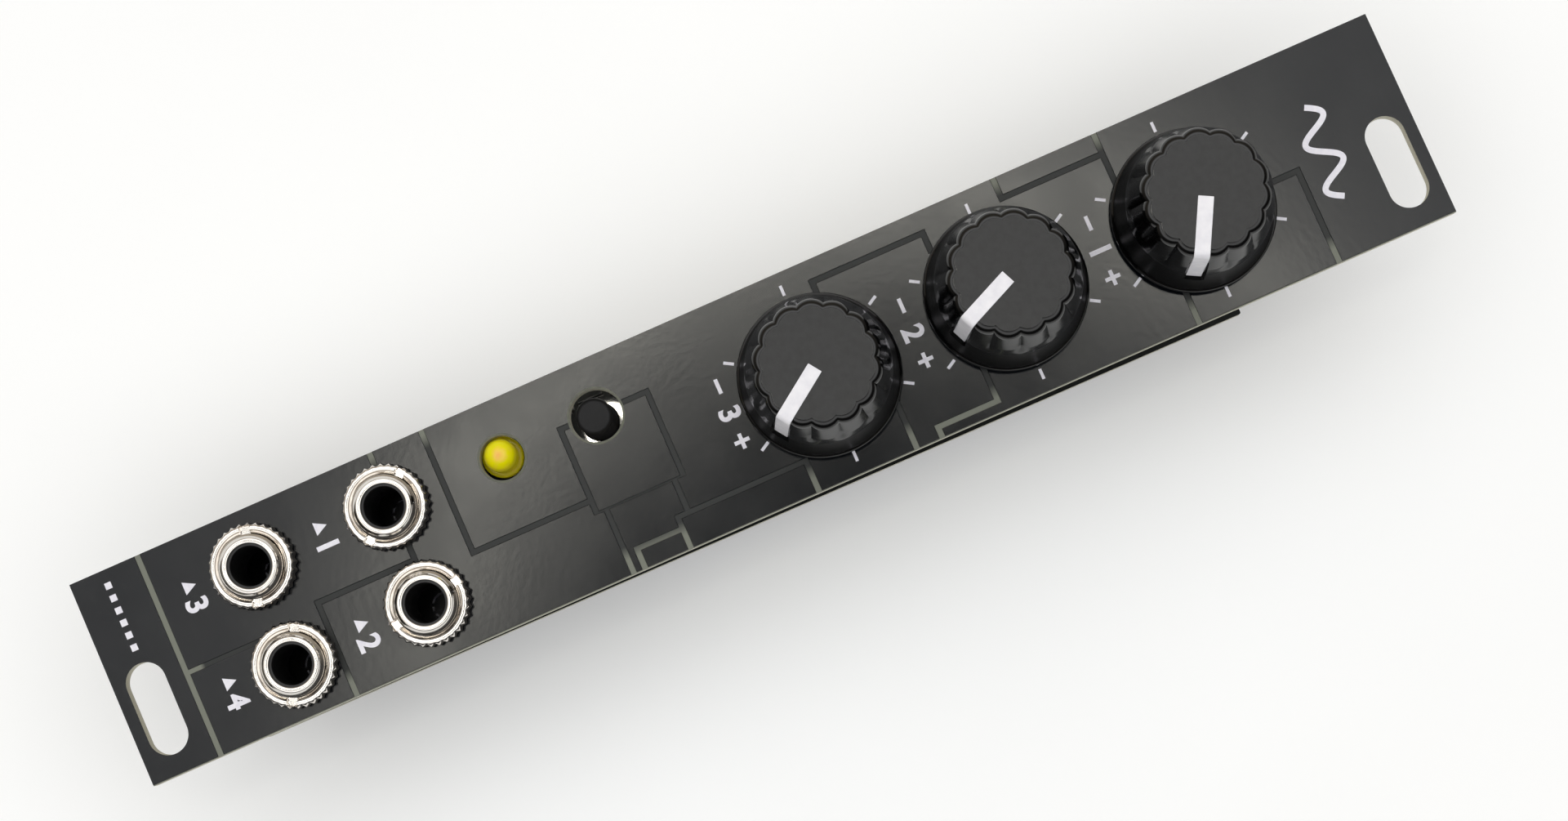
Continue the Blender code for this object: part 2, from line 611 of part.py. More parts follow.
def make_power_header():
    """A shrouded connector for the ribbon cable: a deep tray, open to the back, with a keyed side."""
    floor, rim = BOARD_BACK - TOUCH, -DEPTH
    x, y = HEADER_W / 2, HEADER_L / 2
    at = (PANEL_W / 2, HEADER_Y)
    tray = node("power_header", block((-x, x), (-y, y), (rim, floor)), "black_nylon", at)
    inside, inside_y, depth = x - HEADER_WALL, y - HEADER_WALL, (rim - CLEAR, floor - HEADER_FLOOR)
    change(tray, block((-inside, inside), (-inside_y, inside_y), depth), "DIFFERENCE")
    half = HEADER_KEY_W / 2
    change(tray, block((inside - CLEAR, x + CLEAR), (-half, half), depth), "DIFFERENCE")


def make_capacitors():
    seat = BOARD_BACK - TOUCH
    low = seat - CAPACITOR_H
    depth, half, collar = CAPACITOR_GROOVE
    groove = seat - collar - half
    profile = [
        (0, seat),
        (CAPACITOR_R, seat),
        (CAPACITOR_R, groove + half),
        (CAPACITOR_R - depth, groove),
        (CAPACITOR_R, groove - half),
        (CAPACITOR_R, low + CAPACITOR_ROUND),
        (CAPACITOR_R - CAPACITOR_ROUND, low),
        (0, low),
    ]
    for name, x in zip(("capacitor_left", "capacitor_right"), CAPACITOR_XS):
        node(name, turned(profile), "capacitor_sleeve", (x, CAPACITOR_Y), smooth=True)


clear_scene()
make_panel()
make_main_board()
make_jacks()
make_pots()
make_button()
make_light()
make_controller()
make_reset_button()
make_power_header()
make_capacitors()
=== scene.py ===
# %% [markdown]
# # A patch module and its finishes
#
# The object is a narrow synthesiser module: a panel cut from black circuit board with three knobs,
# a push button, a light and four sockets, and the boards and parts behind it. It lies on its back.
# The CAD model gives every place and size. This file dresses it: each piece gets its rounded edges,
# threads, knurls, pins and print, and a finish worked out from what the real one is made of.

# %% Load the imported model
import math

import bmesh
import bpy
import numpy as np
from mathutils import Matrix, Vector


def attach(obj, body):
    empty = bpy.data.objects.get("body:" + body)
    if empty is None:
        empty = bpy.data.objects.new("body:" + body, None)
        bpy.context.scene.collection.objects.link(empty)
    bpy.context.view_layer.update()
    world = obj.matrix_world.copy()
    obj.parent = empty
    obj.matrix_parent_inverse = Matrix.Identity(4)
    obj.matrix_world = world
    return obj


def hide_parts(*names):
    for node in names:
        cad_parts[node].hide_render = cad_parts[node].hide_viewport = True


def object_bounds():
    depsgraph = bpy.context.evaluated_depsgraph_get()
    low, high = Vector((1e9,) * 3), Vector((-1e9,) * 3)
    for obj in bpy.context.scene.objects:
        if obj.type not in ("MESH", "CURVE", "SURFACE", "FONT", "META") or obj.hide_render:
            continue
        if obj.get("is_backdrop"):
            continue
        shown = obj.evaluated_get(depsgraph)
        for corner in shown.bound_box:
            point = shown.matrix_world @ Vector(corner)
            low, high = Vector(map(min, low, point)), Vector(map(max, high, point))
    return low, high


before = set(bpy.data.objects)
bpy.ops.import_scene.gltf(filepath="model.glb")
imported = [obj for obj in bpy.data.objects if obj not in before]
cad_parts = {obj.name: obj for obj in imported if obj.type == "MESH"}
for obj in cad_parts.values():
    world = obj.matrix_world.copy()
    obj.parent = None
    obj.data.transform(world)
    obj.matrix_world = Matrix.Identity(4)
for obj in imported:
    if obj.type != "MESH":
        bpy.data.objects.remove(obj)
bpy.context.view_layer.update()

# %% [markdown]
# Everything is drawn in millimetres from the panel's lower left corner and its face, as someone
# with callipers would measure it. One function then takes points to metres in the model's frame,
# whose origin lies below the panel's middle.

# %% Millimetres on the panel
MM = 0.001
PANEL_W, PANEL_H, PANEL_T = 19.8, 128.5, 1.6
FACE = 22.1
CORNER = np.array([-PANEL_W / 2, -PANEL_H / 2, FACE])


def to_frame(points):
    """Points in millimetres from the panel's corner and face, as metres in the model's frame."""
    return (np.asarray(points, float) + CORNER) * MM


print("panel's face at", to_frame((0, 0, 0))[2], "m")

# %% [markdown]
# The photograph was taken from almost straight above, a little beyond the panel's right side, with
# the module lying across the picture. The camera's place comes from the panel's four corners, the
# rings of marks round the knobs and how far the raised pieces are shifted. A camera in Blender
# that isn't turned looks straight down, so two small angles lean it about X and Y, and the third
# turns it about Z.

# %% Camera
CAMERA_AT = (35.026, 64.784, 289.724)
CAMERA_ANGLES = (4.2849, 1.6929, 66.2667)  # degrees
SENSOR_W, LENS = 36.0, 73.785

camera = bpy.data.objects.new("camera", bpy.data.cameras.new("camera"))
camera.data.sensor_width, camera.data.lens = SENSOR_W, LENS
camera.data.clip_start, camera.data.clip_end = 0.01, 20
camera.location = to_frame(CAMERA_AT)
camera.rotation_euler = np.radians(CAMERA_ANGLES)
bpy.context.scene.collection.objects.link(camera)
bpy.context.scene.camera = camera
print("camera", round(CAMERA_AT[2]), "mm over the panel")

# %% [markdown]
# ## Finishes
#
# A finish is a small network of nodes. One function turns the hex value of a colour, as a picture
# program shows it, to the linear value that a shader needs, and one function adds a node. Patterns
# read Object coordinates, which are metres here, so a grain of g millimetres needs a noise scale
# of about 1000 / g.

# %% Colours and nodes


def linear(hex_colour):
    """The linear value of an sRGB hex colour: each channel through the sRGB curve, and alpha 1."""
    channels = np.array([int(hex_colour[i : i + 2], 16) / 255 for i in (1, 3, 5)])
    curved = np.where(channels <= 0.04045, channels / 12.92, ((channels + 0.055) / 1.055) ** 2.4)
    return (*curved.tolist(), 1.0)


def add(tree, kind, inputs=None, **settings):
    """A node with its settings. An input, by its name or number, takes a number, a hex colour or
    another node's output."""
    made = tree.nodes.new(kind)
    for name, value in settings.items():
        setattr(made, name, value)
    for socket, value in (inputs or {}).items():
        if isinstance(value, bpy.types.NodeSocket):
            tree.links.new(value, made.inputs[socket])
        else:
            made.inputs[socket].default_value = linear(value) if isinstance(value, str) else value
    return made


def bare_finish(name, roughness, metallic=0.0, ior=None):
    """A material with its shader, whose constant values sit on the shader's own sockets."""
    material = bpy.data.materials.new(name)
    material.use_nodes = True
    tree = material.node_tree
    shader = tree.nodes["Principled BSDF"]
    shader.inputs["Roughness"].default_value = roughness
    shader.inputs["Metallic"].default_value = metallic
    if ior:
        shader.inputs["IOR"].default_value = ior
    return material, tree, shader, add(tree, "ShaderNodeTexCoord").outputs["Object"]


def grained_finish(name, colours, size_mm, roughness, spread=0.08, bump_mm=0.004, metallic=0.0,
                   ior=None, stretch=(1, 1, 1)):
    """A surface of two near colours in a noise of size_mm, drawn out along an axis where stretch
    is under 1. The noise also changes the gloss by spread and the height by bump_mm."""
    material, tree, shader, place = bare_finish(name, roughness, metallic, ior)
    if stretch != (1, 1, 1):
        place = add(tree, "ShaderNodeMapping", {"Vector": place, "Scale": stretch}).outputs["Vector"]
    noise = add(tree, "ShaderNodeTexNoise", {"Vector": place, "Scale": 1000 / size_mm, "Detail": 3.0})
    share = add(tree, "ShaderNodeMapRange", {"Value": noise.outputs["Fac"], "From Min": 0.3, "From Max": 0.7})
    blend = {0: share.outputs["Result"], 6: colours[0], 7: colours[1]}
    colour = add(tree, "ShaderNodeMix", blend, data_type="RGBA").outputs[2]
    tree.links.new(colour, shader.inputs["Base Color"])
    ends = {"To Min": roughness - spread / 2, "To Max": roughness + spread / 2}
    gloss = add(tree, "ShaderNodeMapRange", {"Value": share.outputs["Result"], **ends})
    tree.links.new(gloss.outputs["Result"], shader.inputs["Roughness"])
    if bump_mm:
        lift = add(tree, "ShaderNodeBump", {"Height": noise.outputs["Fac"], "Distance": bump_mm * MM})
        tree.links.new(lift.outputs["Normal"], shader.inputs["Normal"])
    return material


print("one linear value:", [round(c, 3) for c in linear("#808080")[:3]])

# %% [markdown]
# The panel is glass-epoxy board under black solder mask, a thin satin lacquer. Under the mask lies copper
# foil in large areas, and lines half a millimetre wide part them. There the mask lies a few hundredths of a
# millimetre lower and looks darker. Near the panel's edges, and where no second board stands behind it, light
# comes through the bare glass-epoxy, and that light is painted in: the lines there are coloured pale olive.
# The lines are cut into the mesh, so the finish only reads its own height to find them.

# %% Solder mask over copper
GROOVE = 0.05
CLOUD, SPECK = 5, 0.6
# Edges near which light from behind the panel is painted into the grooves as a pale olive colour
LIT_EDGES = (("X", 1.7, -1.2), ("X", 17.2, 1.2), ("Y", 8.5, -0.4))  # axis, start, reach to full light


def mask_finish():
    """Glossy mask over copper; rougher mask over bare board in the grooves, with light from behind the panel
    painted in as pale olive near the edges.
    """
    material, tree, shader, place = bare_finish("satin_solder_mask", 0.12, ior=1.48)
    split = add(tree, "ShaderNodeSeparateXYZ", {"Vector": place}).outputs
    cloud = add(tree, "ShaderNodeTexNoise", {"Vector": place, "Scale": 1000 / CLOUD, "Detail": 4.0})
    cloudy = add(tree, "ShaderNodeMapRange", {"Value": cloud.outputs[0], "From Min": 0.35, "From Max": 0.65})
    tint = add(tree, "ShaderNodeMix", {0: cloudy.outputs[0], 6: "#04070c", 7: "#06090e"}, data_type="RGBA")
    speck = add(tree, "ShaderNodeTexNoise", {"Vector": place, "Scale": 1000 / SPECK, "Detail": 3.0})
    ends = {"From Min": 0.55, "From Max": 0.75, "To Max": 0.5}
    dusty = add(tree, "ShaderNodeMapRange", {"Value": speck.outputs[0], **ends})
    shown = {0: dusty.outputs[0], 6: tint.outputs[2], 7: "#202123"}
    copper = add(tree, "ShaderNodeMix", shown, data_type="RGBA")

    # Painted backlight: lit rises to 0.9 near each edge and turns the grooves from dark bare board to pale
    # olive
    lit = None
    for axis, value, reach in LIT_EDGES:
        edge = to_frame((value, value, 0))["XY".index(axis)]
        ends = {"From Min": edge, "From Max": edge + reach * MM, "To Max": 0.9}
        near = add(tree, "ShaderNodeMapRange", {"Value": split[axis], **ends}).outputs["Result"]
        either = {0: near, 1: near if lit is None else lit}
        lit = add(tree, "ShaderNodeMath", either, operation="MAXIMUM").outputs["Value"]
    bare = add(tree, "ShaderNodeMix", {0: lit, 6: "#0d110f", 7: "#74776b"}, data_type="RGBA")

    ends = {"From Min": (FACE - GROOVE) * MM, "From Max": (FACE - 0.3 * GROOVE) * MM}
    ends |= {"To Min": 1.0, "To Max": 0.0}
    groove = add(tree, "ShaderNodeMapRange", {"Value": split["Z"], **ends}).outputs["Result"]
    shown = {0: groove, 6: copper.outputs[2], 7: bare.outputs[2]}
    colour = add(tree, "ShaderNodeMix", shown, data_type="RGBA").outputs[2]
    tree.links.new(colour, shader.inputs["Base Color"])
    smooth = add(tree, "ShaderNodeMapRange", {"Value": cloudy.outputs[0], "To Min": 0.125, "To Max": 0.15})
    gloss = add(tree, "ShaderNodeMix", {0: groove, 2: smooth.outputs["Result"], 3: 0.5}, data_type="FLOAT")
    tree.links.new(gloss.outputs[0], shader.inputs["Roughness"])
    lift = add(tree, "ShaderNodeBump", {"Height": speck.outputs[0], "Distance": 0.0025 * MM})
    tree.links.new(lift.outputs["Normal"], shader.inputs["Normal"])
    return material


solder_mask = mask_finish()
board_mask = grained_finish("black_board_mask", ("#070808", "#0b0d0c"), 3.0, 0.22, 0.06, ior=1.48)
blue_mask = grained_finish("blue_board_mask", ("#0f3361", "#154173"), 3.0, 0.3, ior=1.5)
print("finishes for boards:", solder_mask.name, board_mask.name, blue_mask.name)

# %% [markdown]
# Where a board is sawn or milled, its glass cloth shows: about eight layers in 1.6 mm, pale and
# darker in turn, which a wave along Z draws. White screen print is thick matt ink, faintly cool.
# The places that solder wets are tin, and header pins are plated with a thin layer of gold.

# %% Cut board, ink, solder and gold
CLOTH_SCALE = 800  # a wave texture repeats every tau / 20 / scale metres


def cut_board_finish():
    """A wave along Z, pale and darker layers in turn, that changes the colour and the height."""
    material, tree, shader, place = bare_finish("cut_glass_epoxy", 0.6, ior=1.52)
    layer = add(tree, "ShaderNodeMapping", {"Vector": place, "Scale": (0.05, 0.05, 1)}).outputs["Vector"]
    layers = {"Vector": layer, "Scale": CLOTH_SCALE, "Distortion": 1.5, "Detail": 2.0, "Detail Scale": 3.0}
    wave = add(tree, "ShaderNodeTexWave", layers, bands_direction="Z").outputs["Fac"]
    colour = add(tree, "ShaderNodeMix", {0: wave, 6: "#b4b09c", 7: "#d8d5c4"}, data_type="RGBA")
    tree.links.new(colour.outputs[2], shader.inputs["Base Color"])
    lift = add(tree, "ShaderNodeBump", {"Height": wave, "Distance": 0.01 * MM})
    tree.links.new(lift.outputs["Normal"], shader.inputs["Normal"])
    return material


cut_board = cut_board_finish()
ink = grained_finish("white_screen_print", ("#e2e0ea", "#efeef4"), 0.4, 0.6, bump_mm=0.004)
solder = grained_finish("tin_solder", ("#b9bbbd", "#d3d4d4"), 0.8, 0.24, metallic=1.0, bump_mm=0.01)
gold = grained_finish("gold_plate", ("#d9b45c", "#e6c878"), 1.0, 0.24, metallic=1.0)
print("layers in the cut edge:", round(2 * PANEL_T * MM * 20 * CLOTH_SCALE / math.tau))

# %% [markdown]
# Metals keep the shader's own IOR, and their colour is their reflectance. Bright nickel on turned
# brass is faintly warm, tin plate on a potentiometer's can is greyer and brushed one way, sprung
# bronze is a pale orange brown, and the end of a capacitor is plain drawn aluminium.

# %% Metals


def brushed(name, colours, roughness, along, bump_mm=0.004):
    """Noise drawn out forty times along one axis, with lines 0.15 mm apart: real brushing is finer,
    but wouldn't show."""
    stretch = [1.0, 1.0, 1.0]
    stretch["XYZ".index(along)] = 0.025
    return grained_finish(name, colours, 0.15, roughness, 0.12, bump_mm, 1.0, stretch=tuple(stretch))


nickel = grained_finish("bright_nickel", ("#d9d3cc", "#eae6e0"), 1.6, 0.12, 0.06, 0.002, metallic=1.0)
knurl = grained_finish("knurled_nickel", ("#5c5852", "#7d7871"), 0.3, 0.4, 0.1, 0.004, metallic=1.0)
steel = grained_finish("polished_switch_steel", ("#d6d4d0", "#e4e2de"), 1.2, 0.09, 0.02, 0.0, metallic=1.0)
tin_plate = brushed("tin_plate", ("#a9aaa8", "#c2c2bf"), 0.34, "X")
bronze = brushed("phosphor_bronze", ("#a87a42", "#c29257"), 0.3, "Z")
aluminium = grained_finish("drawn_aluminium", ("#b9babb", "#cfd0d0"), 0.3, 0.38, metallic=1.0)
print("metals:", ", ".join(m.name for m in (nickel, knurl, steel, tin_plate, bronze, aluminium)))

# %% [markdown]
# The knob is moulded in one jet black thermoset, finished in four ways. The skirt and the cap's
# edge are polished and mirror sharply. The cap is etched: a fine leathery grain spreads the light
# and makes it look grey. The fluted side is waxed and the foot below it is lapped. Both mirror
# less in the photograph than bare thermoset would, so their IOR is set below the plastic's own.
# Other mouldings are nylon and polyester, satin and a little uneven.

# %% Plastics
knob_gloss = grained_finish("polished_thermoset", ("#050505", "#080808"), 1.5, 0.12, 0.04, 0.0, ior=1.48)
knob_side = grained_finish("waxed_thermoset", ("#040404", "#060606"), 1.5, 0.17, 0.02, 0.0, ior=1.22)
knob_foot = grained_finish("lapped_thermoset", ("#040404", "#060606"), 1.5, 0.4, 0.04, 0.0, ior=1.15)
knob_matt = grained_finish("etched_thermoset", ("#050505", "#222222"), 0.7, 0.41, 0.16, 0.015, ior=1.5)
bar_white = grained_finish("white_inlay_plastic", ("#e9e8ee", "#f4f3f7"), 0.8, 0.42, 0.06, 0.003, ior=1.5)
nylon = grained_finish("black_moulded_nylon", ("#0d0d0e", "#151516"), 0.6, 0.46, 0.1, 0.008, ior=1.53)
header_plastic = grained_finish("black_header_polyester", ("#101011", "#19191a"), 0.5, 0.5, 0.1, ior=1.55)
button_plastic = grained_finish("button_acetal", ("#101011", "#161617"), 0.4, 0.4, 0.1, 0.004, ior=1.3)
epoxy = grained_finish("moulded_epoxy", ("#131415", "#1c1d1f"), 0.25, 0.6, 0.1, 0.01, ior=1.55)
phenolic = grained_finish("paper_phenolic", ("#4a2e1b", "#67452c"), 0.6, 0.6, 0.1, ior=1.55)
ceramic = grained_finish("resistor_ceramic", ("#dcdad2", "#efeee8"), 0.3, 0.5, ior=1.6)
chip_black = grained_finish("resistor_glaze", ("#0c0c0d", "#161617"), 0.3, 0.3, ior=1.55)
print("plastics done")

# %% [markdown]
# The light is a 3 mm lamp of yellow tinted epoxy. Its body lets light pass and scatters it. Near its middle
# the metal cup that holds the chip shows through, and its shine is a painted reflection: a paler, warmer
# spot. Towards the dome's foot the colour carries painted shade, darker and greener. Both belong to the lamp,
# so they are painted by the distance from the lamp's own axis.

# %% Tinted epoxy for the light
LIGHT_AT = (5.05, 40.52)
CUP_R = 0.9


def lamp_finish():
    """Yellow, with painted shade that makes it darker and greener towards the dome's foot, and a painted
    reflection of the cup, a warm cloudy spot in the middle.
    """
    material, tree, shader, place = bare_finish("yellow_tinted_epoxy", 0.22, ior=1.4)
    x, y, _ = to_frame((*LIGHT_AT, 0))
    middle = add(tree, "ShaderNodeMapping", {"Vector": place, "Location": (-x, -y, 0), "Scale": (1, 1, 0)})
    away = add(tree, "ShaderNodeVectorMath", {0: middle.outputs[0]}, operation="LENGTH").outputs["Value"]
    # The cup's painted reflection: strongest on the axis, gone at CUP_R
    cup = add(tree, "ShaderNodeMapRange", {"Value": away, "From Min": CUP_R * MM, "From Max": 0.0})
    noise = add(tree, "ShaderNodeTexNoise", {"Vector": place, "Scale": 1000 / 0.7}).outputs["Fac"]
    cloud = add(tree, "ShaderNodeMath", {0: noise, 1: -0.5}, operation="ADD").outputs["Value"]
    painted_cup_reflection = add(tree, "ShaderNodeMath", {0: cup.outputs[0], 1: cloud}, operation="ADD", use_clamp=True)
    # Painted shade: darker and greener from 1.2 to 1.6 mm off the axis
    foot = add(tree, "ShaderNodeMapRange", {"Value": away, "From Min": 1.2 * MM, "From Max": 1.6 * MM})
    body = add(tree, "ShaderNodeMix", {0: foot.outputs[0], 6: "#ece400", 7: "#c9bd00"}, data_type="RGBA")
    shown = {0: painted_cup_reflection.outputs["Value"], 6: body.outputs[2], 7: "#f3b45c"}
    colour = add(tree, "ShaderNodeMix", shown, data_type="RGBA").outputs[2]
    tree.links.new(colour, shader.inputs["Base Color"])
    shader.inputs["Subsurface Weight"].default_value = 0.3
    shader.inputs["Subsurface Radius"].default_value = (1.0, 0.8, 0.1)
    shader.inputs["Subsurface Scale"].default_value = 0.0006
    return material


tinted_epoxy = lamp_finish()
print("lamp at", LIGHT_AT)

# %% [markdown]
# A capacitor's can wears a shrunk plastic sleeve, dark blue-black with one pale stripe down the
# side of its negative lead. It is painted where the can's X is lowest, past a line just inside
# its side.

# %% Sleeve with a stripe
CAPACITOR_Y = 43.0
CAPACITOR_XS = (5.2, 14.6)
CAPACITOR_R = 2.5


def sleeve_finish(x_mm):
    """Dark sleeve with a pale stripe on the side where X is lowest."""
    material, tree, shader, place = bare_finish(f"sleeve_{round(x_mm)}", 0.3, ior=1.52)
    split = add(tree, "ShaderNodeSeparateXYZ", {"Vector": place}).outputs
    side = to_frame((x_mm - CAPACITOR_R * 0.86, 0, 0))[0]
    ends = {"From Min": side + 0.05 * MM, "From Max": side - 0.05 * MM}
    stripe = add(tree, "ShaderNodeMapRange", {"Value": split["X"], **ends})
    noise = add(tree, "ShaderNodeTexNoise", {"Vector": place, "Scale": 1000 / 1.2}).outputs["Fac"]
    dark = add(tree, "ShaderNodeMix", {0: noise, 6: "#14141b", 7: "#20202a"}, data_type="RGBA")
    shown = {0: stripe.outputs[0], 6: dark.outputs[2], 7: "#c9c9c6"}
    colour = add(tree, "ShaderNodeMix", shown, data_type="RGBA").outputs[2]
    tree.links.new(colour, shader.inputs["Base Color"])
    return material


sleeves = [sleeve_finish(x) for x in CAPACITOR_XS]
print("sleeves:", len(sleeves))

# %% [markdown]
# ## Shapes
#
# A shape is an array of points and groups of faces, each group with the number of its finish. All
# points of a shape are worked out at once. The basic one is a grid: rows of points, each joined
# to the next row. It becomes a turned part when its rows are circles, and a wire when they are
# outlines along a path. A closed shape's faces point outwards when its volume, the sum of the
# triple products of its triangles, is positive.

# %% Grids and solids


def outwards(points, groups):
    """Turns all faces round if the volume, a sum of triple products over triangles, is negative."""
    volume = 0.0
    for corners, _ in groups:
        p = points[corners]
        volume += np.einsum("fi,fki->", p[:, 0], np.cross(p[:, 1:-1], p[:, 2:]))
    return points, ([(c[:, ::-1], f) for c, f in groups] if volume < 0 else groups)


def cells(rows, columns, wrap):
    """The four corners of every cell in a grid whose points are numbered row by row."""
    index = np.arange(rows * columns).reshape(rows, columns)
    left = index if wrap else index[:, :-1]
    right = np.roll(index, -1, axis=1) if wrap else index[:, 1:]
    return np.stack([left[:-1], right[:-1], right[1:], left[1:]], axis=-1).reshape(-1, 4)


def loops(points, finish=0, capped=True):
    """A closed shape from loops of points, one after the other; flat caps close its two ends."""
    points = np.asarray(points, float)
    rows, columns = points.shape[:2]
    groups = [(cells(rows, columns, True), finish)]
    if capped:
        first, last = np.arange(columns)[::-1], (rows - 1) * columns + np.arange(columns)
        groups.append((np.stack([first, last]), finish))
    return outwards(points.reshape(-1, 3), groups)


def spun(profile, steps=96, change=None, finishes=None):
    """A profile of (radius, height) points carried once round Z: x = r cos a, y = r sin a, z = h.
    It ends on the axis at both ends or closes on itself. The function change may give each point
    a new radius and height from its angle, radius and height. The finishes are given for each band
    between two rows, or for each face of each band."""
    profile = np.asarray(profile, float)
    angle = np.linspace(0, math.tau, steps, endpoint=False)[None, :] + 0 * profile[:, :1]
    r, z = profile[:, :1] + 0 * angle, profile[:, 1:] + 0 * angle
    if change:
        r, z = change(angle, r, z)
    points = np.stack([r * np.cos(angle), r * np.sin(angle), z], axis=-1)
    faces = cells(len(profile), steps, True)
    bands = len(profile) - 1
    chosen = np.reshape(np.zeros(bands) if finishes is None else finishes, (bands, -1))
    chosen = np.broadcast_to(chosen, (bands, steps)).ravel()
    groups = [(faces[chosen == f], int(f)) for f in np.unique(chosen)]
    return outwards(points.reshape(-1, 3), groups)


def ring(profile):
    """A profile that closes on itself: its first point again at its end."""
    return [*profile, profile[0]]


def blocks(low, high, finish=0):
    """Boxes between opposite corners, all at once: corner k takes x, y and z from the high corner
    where its bits 0, 1 and 2 are set, and from the low corner elsewhere."""
    low, high = np.atleast_2d(low).astype(float), np.atleast_2d(high).astype(float)
    bits = (np.arange(8)[:, None] >> np.arange(3)) & 1
    points = np.where(bits[None], high[:, None], low[:, None])
    box = np.array([[0, 2, 3, 1], [4, 5, 7, 6], [0, 1, 5, 4], [2, 6, 7, 3], [0, 4, 6, 2], [1, 3, 7, 5]])
    faces = box[None] + 8 * np.arange(len(low))[:, None, None]
    return points.reshape(-1, 3), [(faces.reshape(-1, 4), finish)]


def mirrored_blocks(low, high):
    """A box between two corners, with x over 0, and its mirror image on the other side of x = 0."""
    (x_low, *others_low), (x_high, *others_high) = low, high
    lows = [(-x_high, *others_low), (x_low, *others_low)]
    highs = [(-x_low, *others_high), (x_high, *others_high)]
    return blocks(lows, highs)


def blocks_at(middles, size, finish=0):
    """Boxes of one size round many middles."""
    middles, half = np.atleast_2d(middles).astype(float), np.asarray(size) / 2
    return blocks(middles - half, middles + half, finish)


def rounded(width, height, radius, steps=5):
    """A rectangle's outline about its middle with round corners: four quarter circles."""
    quarter = np.linspace(0, math.pi / 2, steps + 1)
    angle = (quarter[None, :] + np.arange(4)[:, None] * math.pi / 2).ravel()
    corner = np.repeat(np.array([(1, 1), (-1, 1), (-1, -1), (1, -1)]), steps + 1, axis=0)
    reach = np.array([width / 2 - radius, height / 2 - radius])
    return corner * reach + radius * np.stack([np.cos(angle), np.sin(angle)], axis=-1)


def circle(radius, steps=96):
    """A circle's outline about its middle: radius times the cosine and the sine of the angle."""
    angle = np.linspace(0, math.tau, steps, endpoint=False)
    return radius * np.stack([np.cos(angle), np.sin(angle)], axis=-1)


def prism(outline, low, high, finish=0, wall=None):
    """An outline of (x, y) points carried straight up; its wall may have another finish."""
    outline = np.asarray(outline, float)
    at = [np.column_stack([outline, np.full(len(outline), z)]) for z in (low, high)]
    points, groups = loops(at, finish)
    return points, [(c, finish if c.shape[1] != 4 or wall is None else wall) for c, _ in groups]


def joined(*shapes):
    """Several shapes as one: the faces of each are numbered after the points before it."""
    points, groups, count = [], [], 0
    for p, g in shapes:
        points.append(p)
        groups += [(c + count, f) for c, f in g]
        count += len(p)
    return np.concatenate(points), groups


def moved(shape, x=0.0, y=0.0, z=0.0, turn=0.0):
    """A shape turned by degrees about Z and then moved."""
    c, s = math.cos(math.radians(turn)), math.sin(math.radians(turn))
    return shape[0] @ np.array([[c, s, 0], [-s, c, 0], [0, 0, 1]]) + (x, y, z), shape[1]


def repeated(shape, places, turns=0.0):
    """A shape at many places, each with its own turn in degrees: one array of all the copies."""
    places = np.atleast_2d(places).astype(float)
    angle = np.radians(np.broadcast_to(turns, len(places)))
    c, s, o = np.cos(angle), np.sin(angle), np.zeros(len(places))
    spin = np.stack([c, s, o, -s, c, o, o, o, o + 1], axis=-1).reshape(-1, 3, 3)
    points = shape[0][None] @ spin + places[:, None]
    step = len(shape[0]) * np.arange(len(places))[:, None, None]
    return points.reshape(-1, 3), [((c[None] + step).reshape(-1, c.shape[1]), f) for c, f in shape[1]]


def painted(shape, finish):
    """The same shape with one finish number for all its faces."""
    return shape[0], [(c, finish) for c, _ in shape[1]]


def stroke(path, width, low, high, finish=0):
    """A flat band along a path of (x, y) points: each point moved half a width to either side."""
    path = np.asarray(path, float)
    along = np.gradient(path, axis=0)
    along /= np.linalg.norm(along, axis=1, keepdims=True)
    side = np.column_stack([-along[:, 1], along[:, 0]]) * width / 2
    corners = [(path + side, low), (path - side, low), (path - side, high), (path + side, high)]
    rows = [np.column_stack([p, np.full(len(p), z)]) for p, z in corners]
    return loops(np.stack(rows, axis=1), finish)


def wire(path, outline, across=(1, 0, 0), finish=0):
    """An outline carried along a path in space: its x goes along the fixed direction across and
    its y along the cross product of the path's own direction with that."""
    path, across = np.asarray(path, float), np.asarray(across, float)
    along = np.gradient(path, axis=0)
    along /= np.linalg.norm(along, axis=1, keepdims=True)
    other = np.cross(along, across)
    outline = np.asarray(outline, float)
    rows = path[:, None] + outline[None, :, :1] * across + outline[None, :, 1:] * other[:, None]
    return loops(rows, finish)


print("a box has", len(blocks((0, 0, 0), (1, 1, 1))[0]), "points")

# %% [markdown]
# One function turns a shape into a piece of the model. It merges points that lie on each other, so that seams
# and poles are closed, marks sharp folds, gives the faces their finishes, hides the CAD nodes that the piece
# stands for and hangs it on the body it moves with. Another cuts a shape out of a piece with an exact
# Boolean, for holes and rooms that a grid can't draw.

# %% Pieces
SHARP = 32
made = []


def mesh_from(name, shape):
    """A welded mesh with the shape's points in the model's frame and its finish numbers."""
    points, groups = shape
    mesh = bpy.data.meshes.new(name)
    mesh.from_pydata(to_frame(points).tolist(), [], [face for c, _ in groups for face in c.tolist()])
    numbers = np.concatenate([np.full(len(c), f, np.int32) for c, f in groups])
    mesh.polygons.foreach_set("material_index", numbers)
    bm = bmesh.new()
    bm.from_mesh(mesh)
    bmesh.ops.remove_doubles(bm, verts=bm.verts, dist=1e-7)
    bm.to_mesh(mesh)
    bm.free()
    return mesh


def shaded(mesh):
    """Smooth faces, with a sharp line where two of them meet at more than SHARP degrees."""
    mesh.shade_smooth()
    mesh.set_sharp_from_angle(angle=math.radians(SHARP))


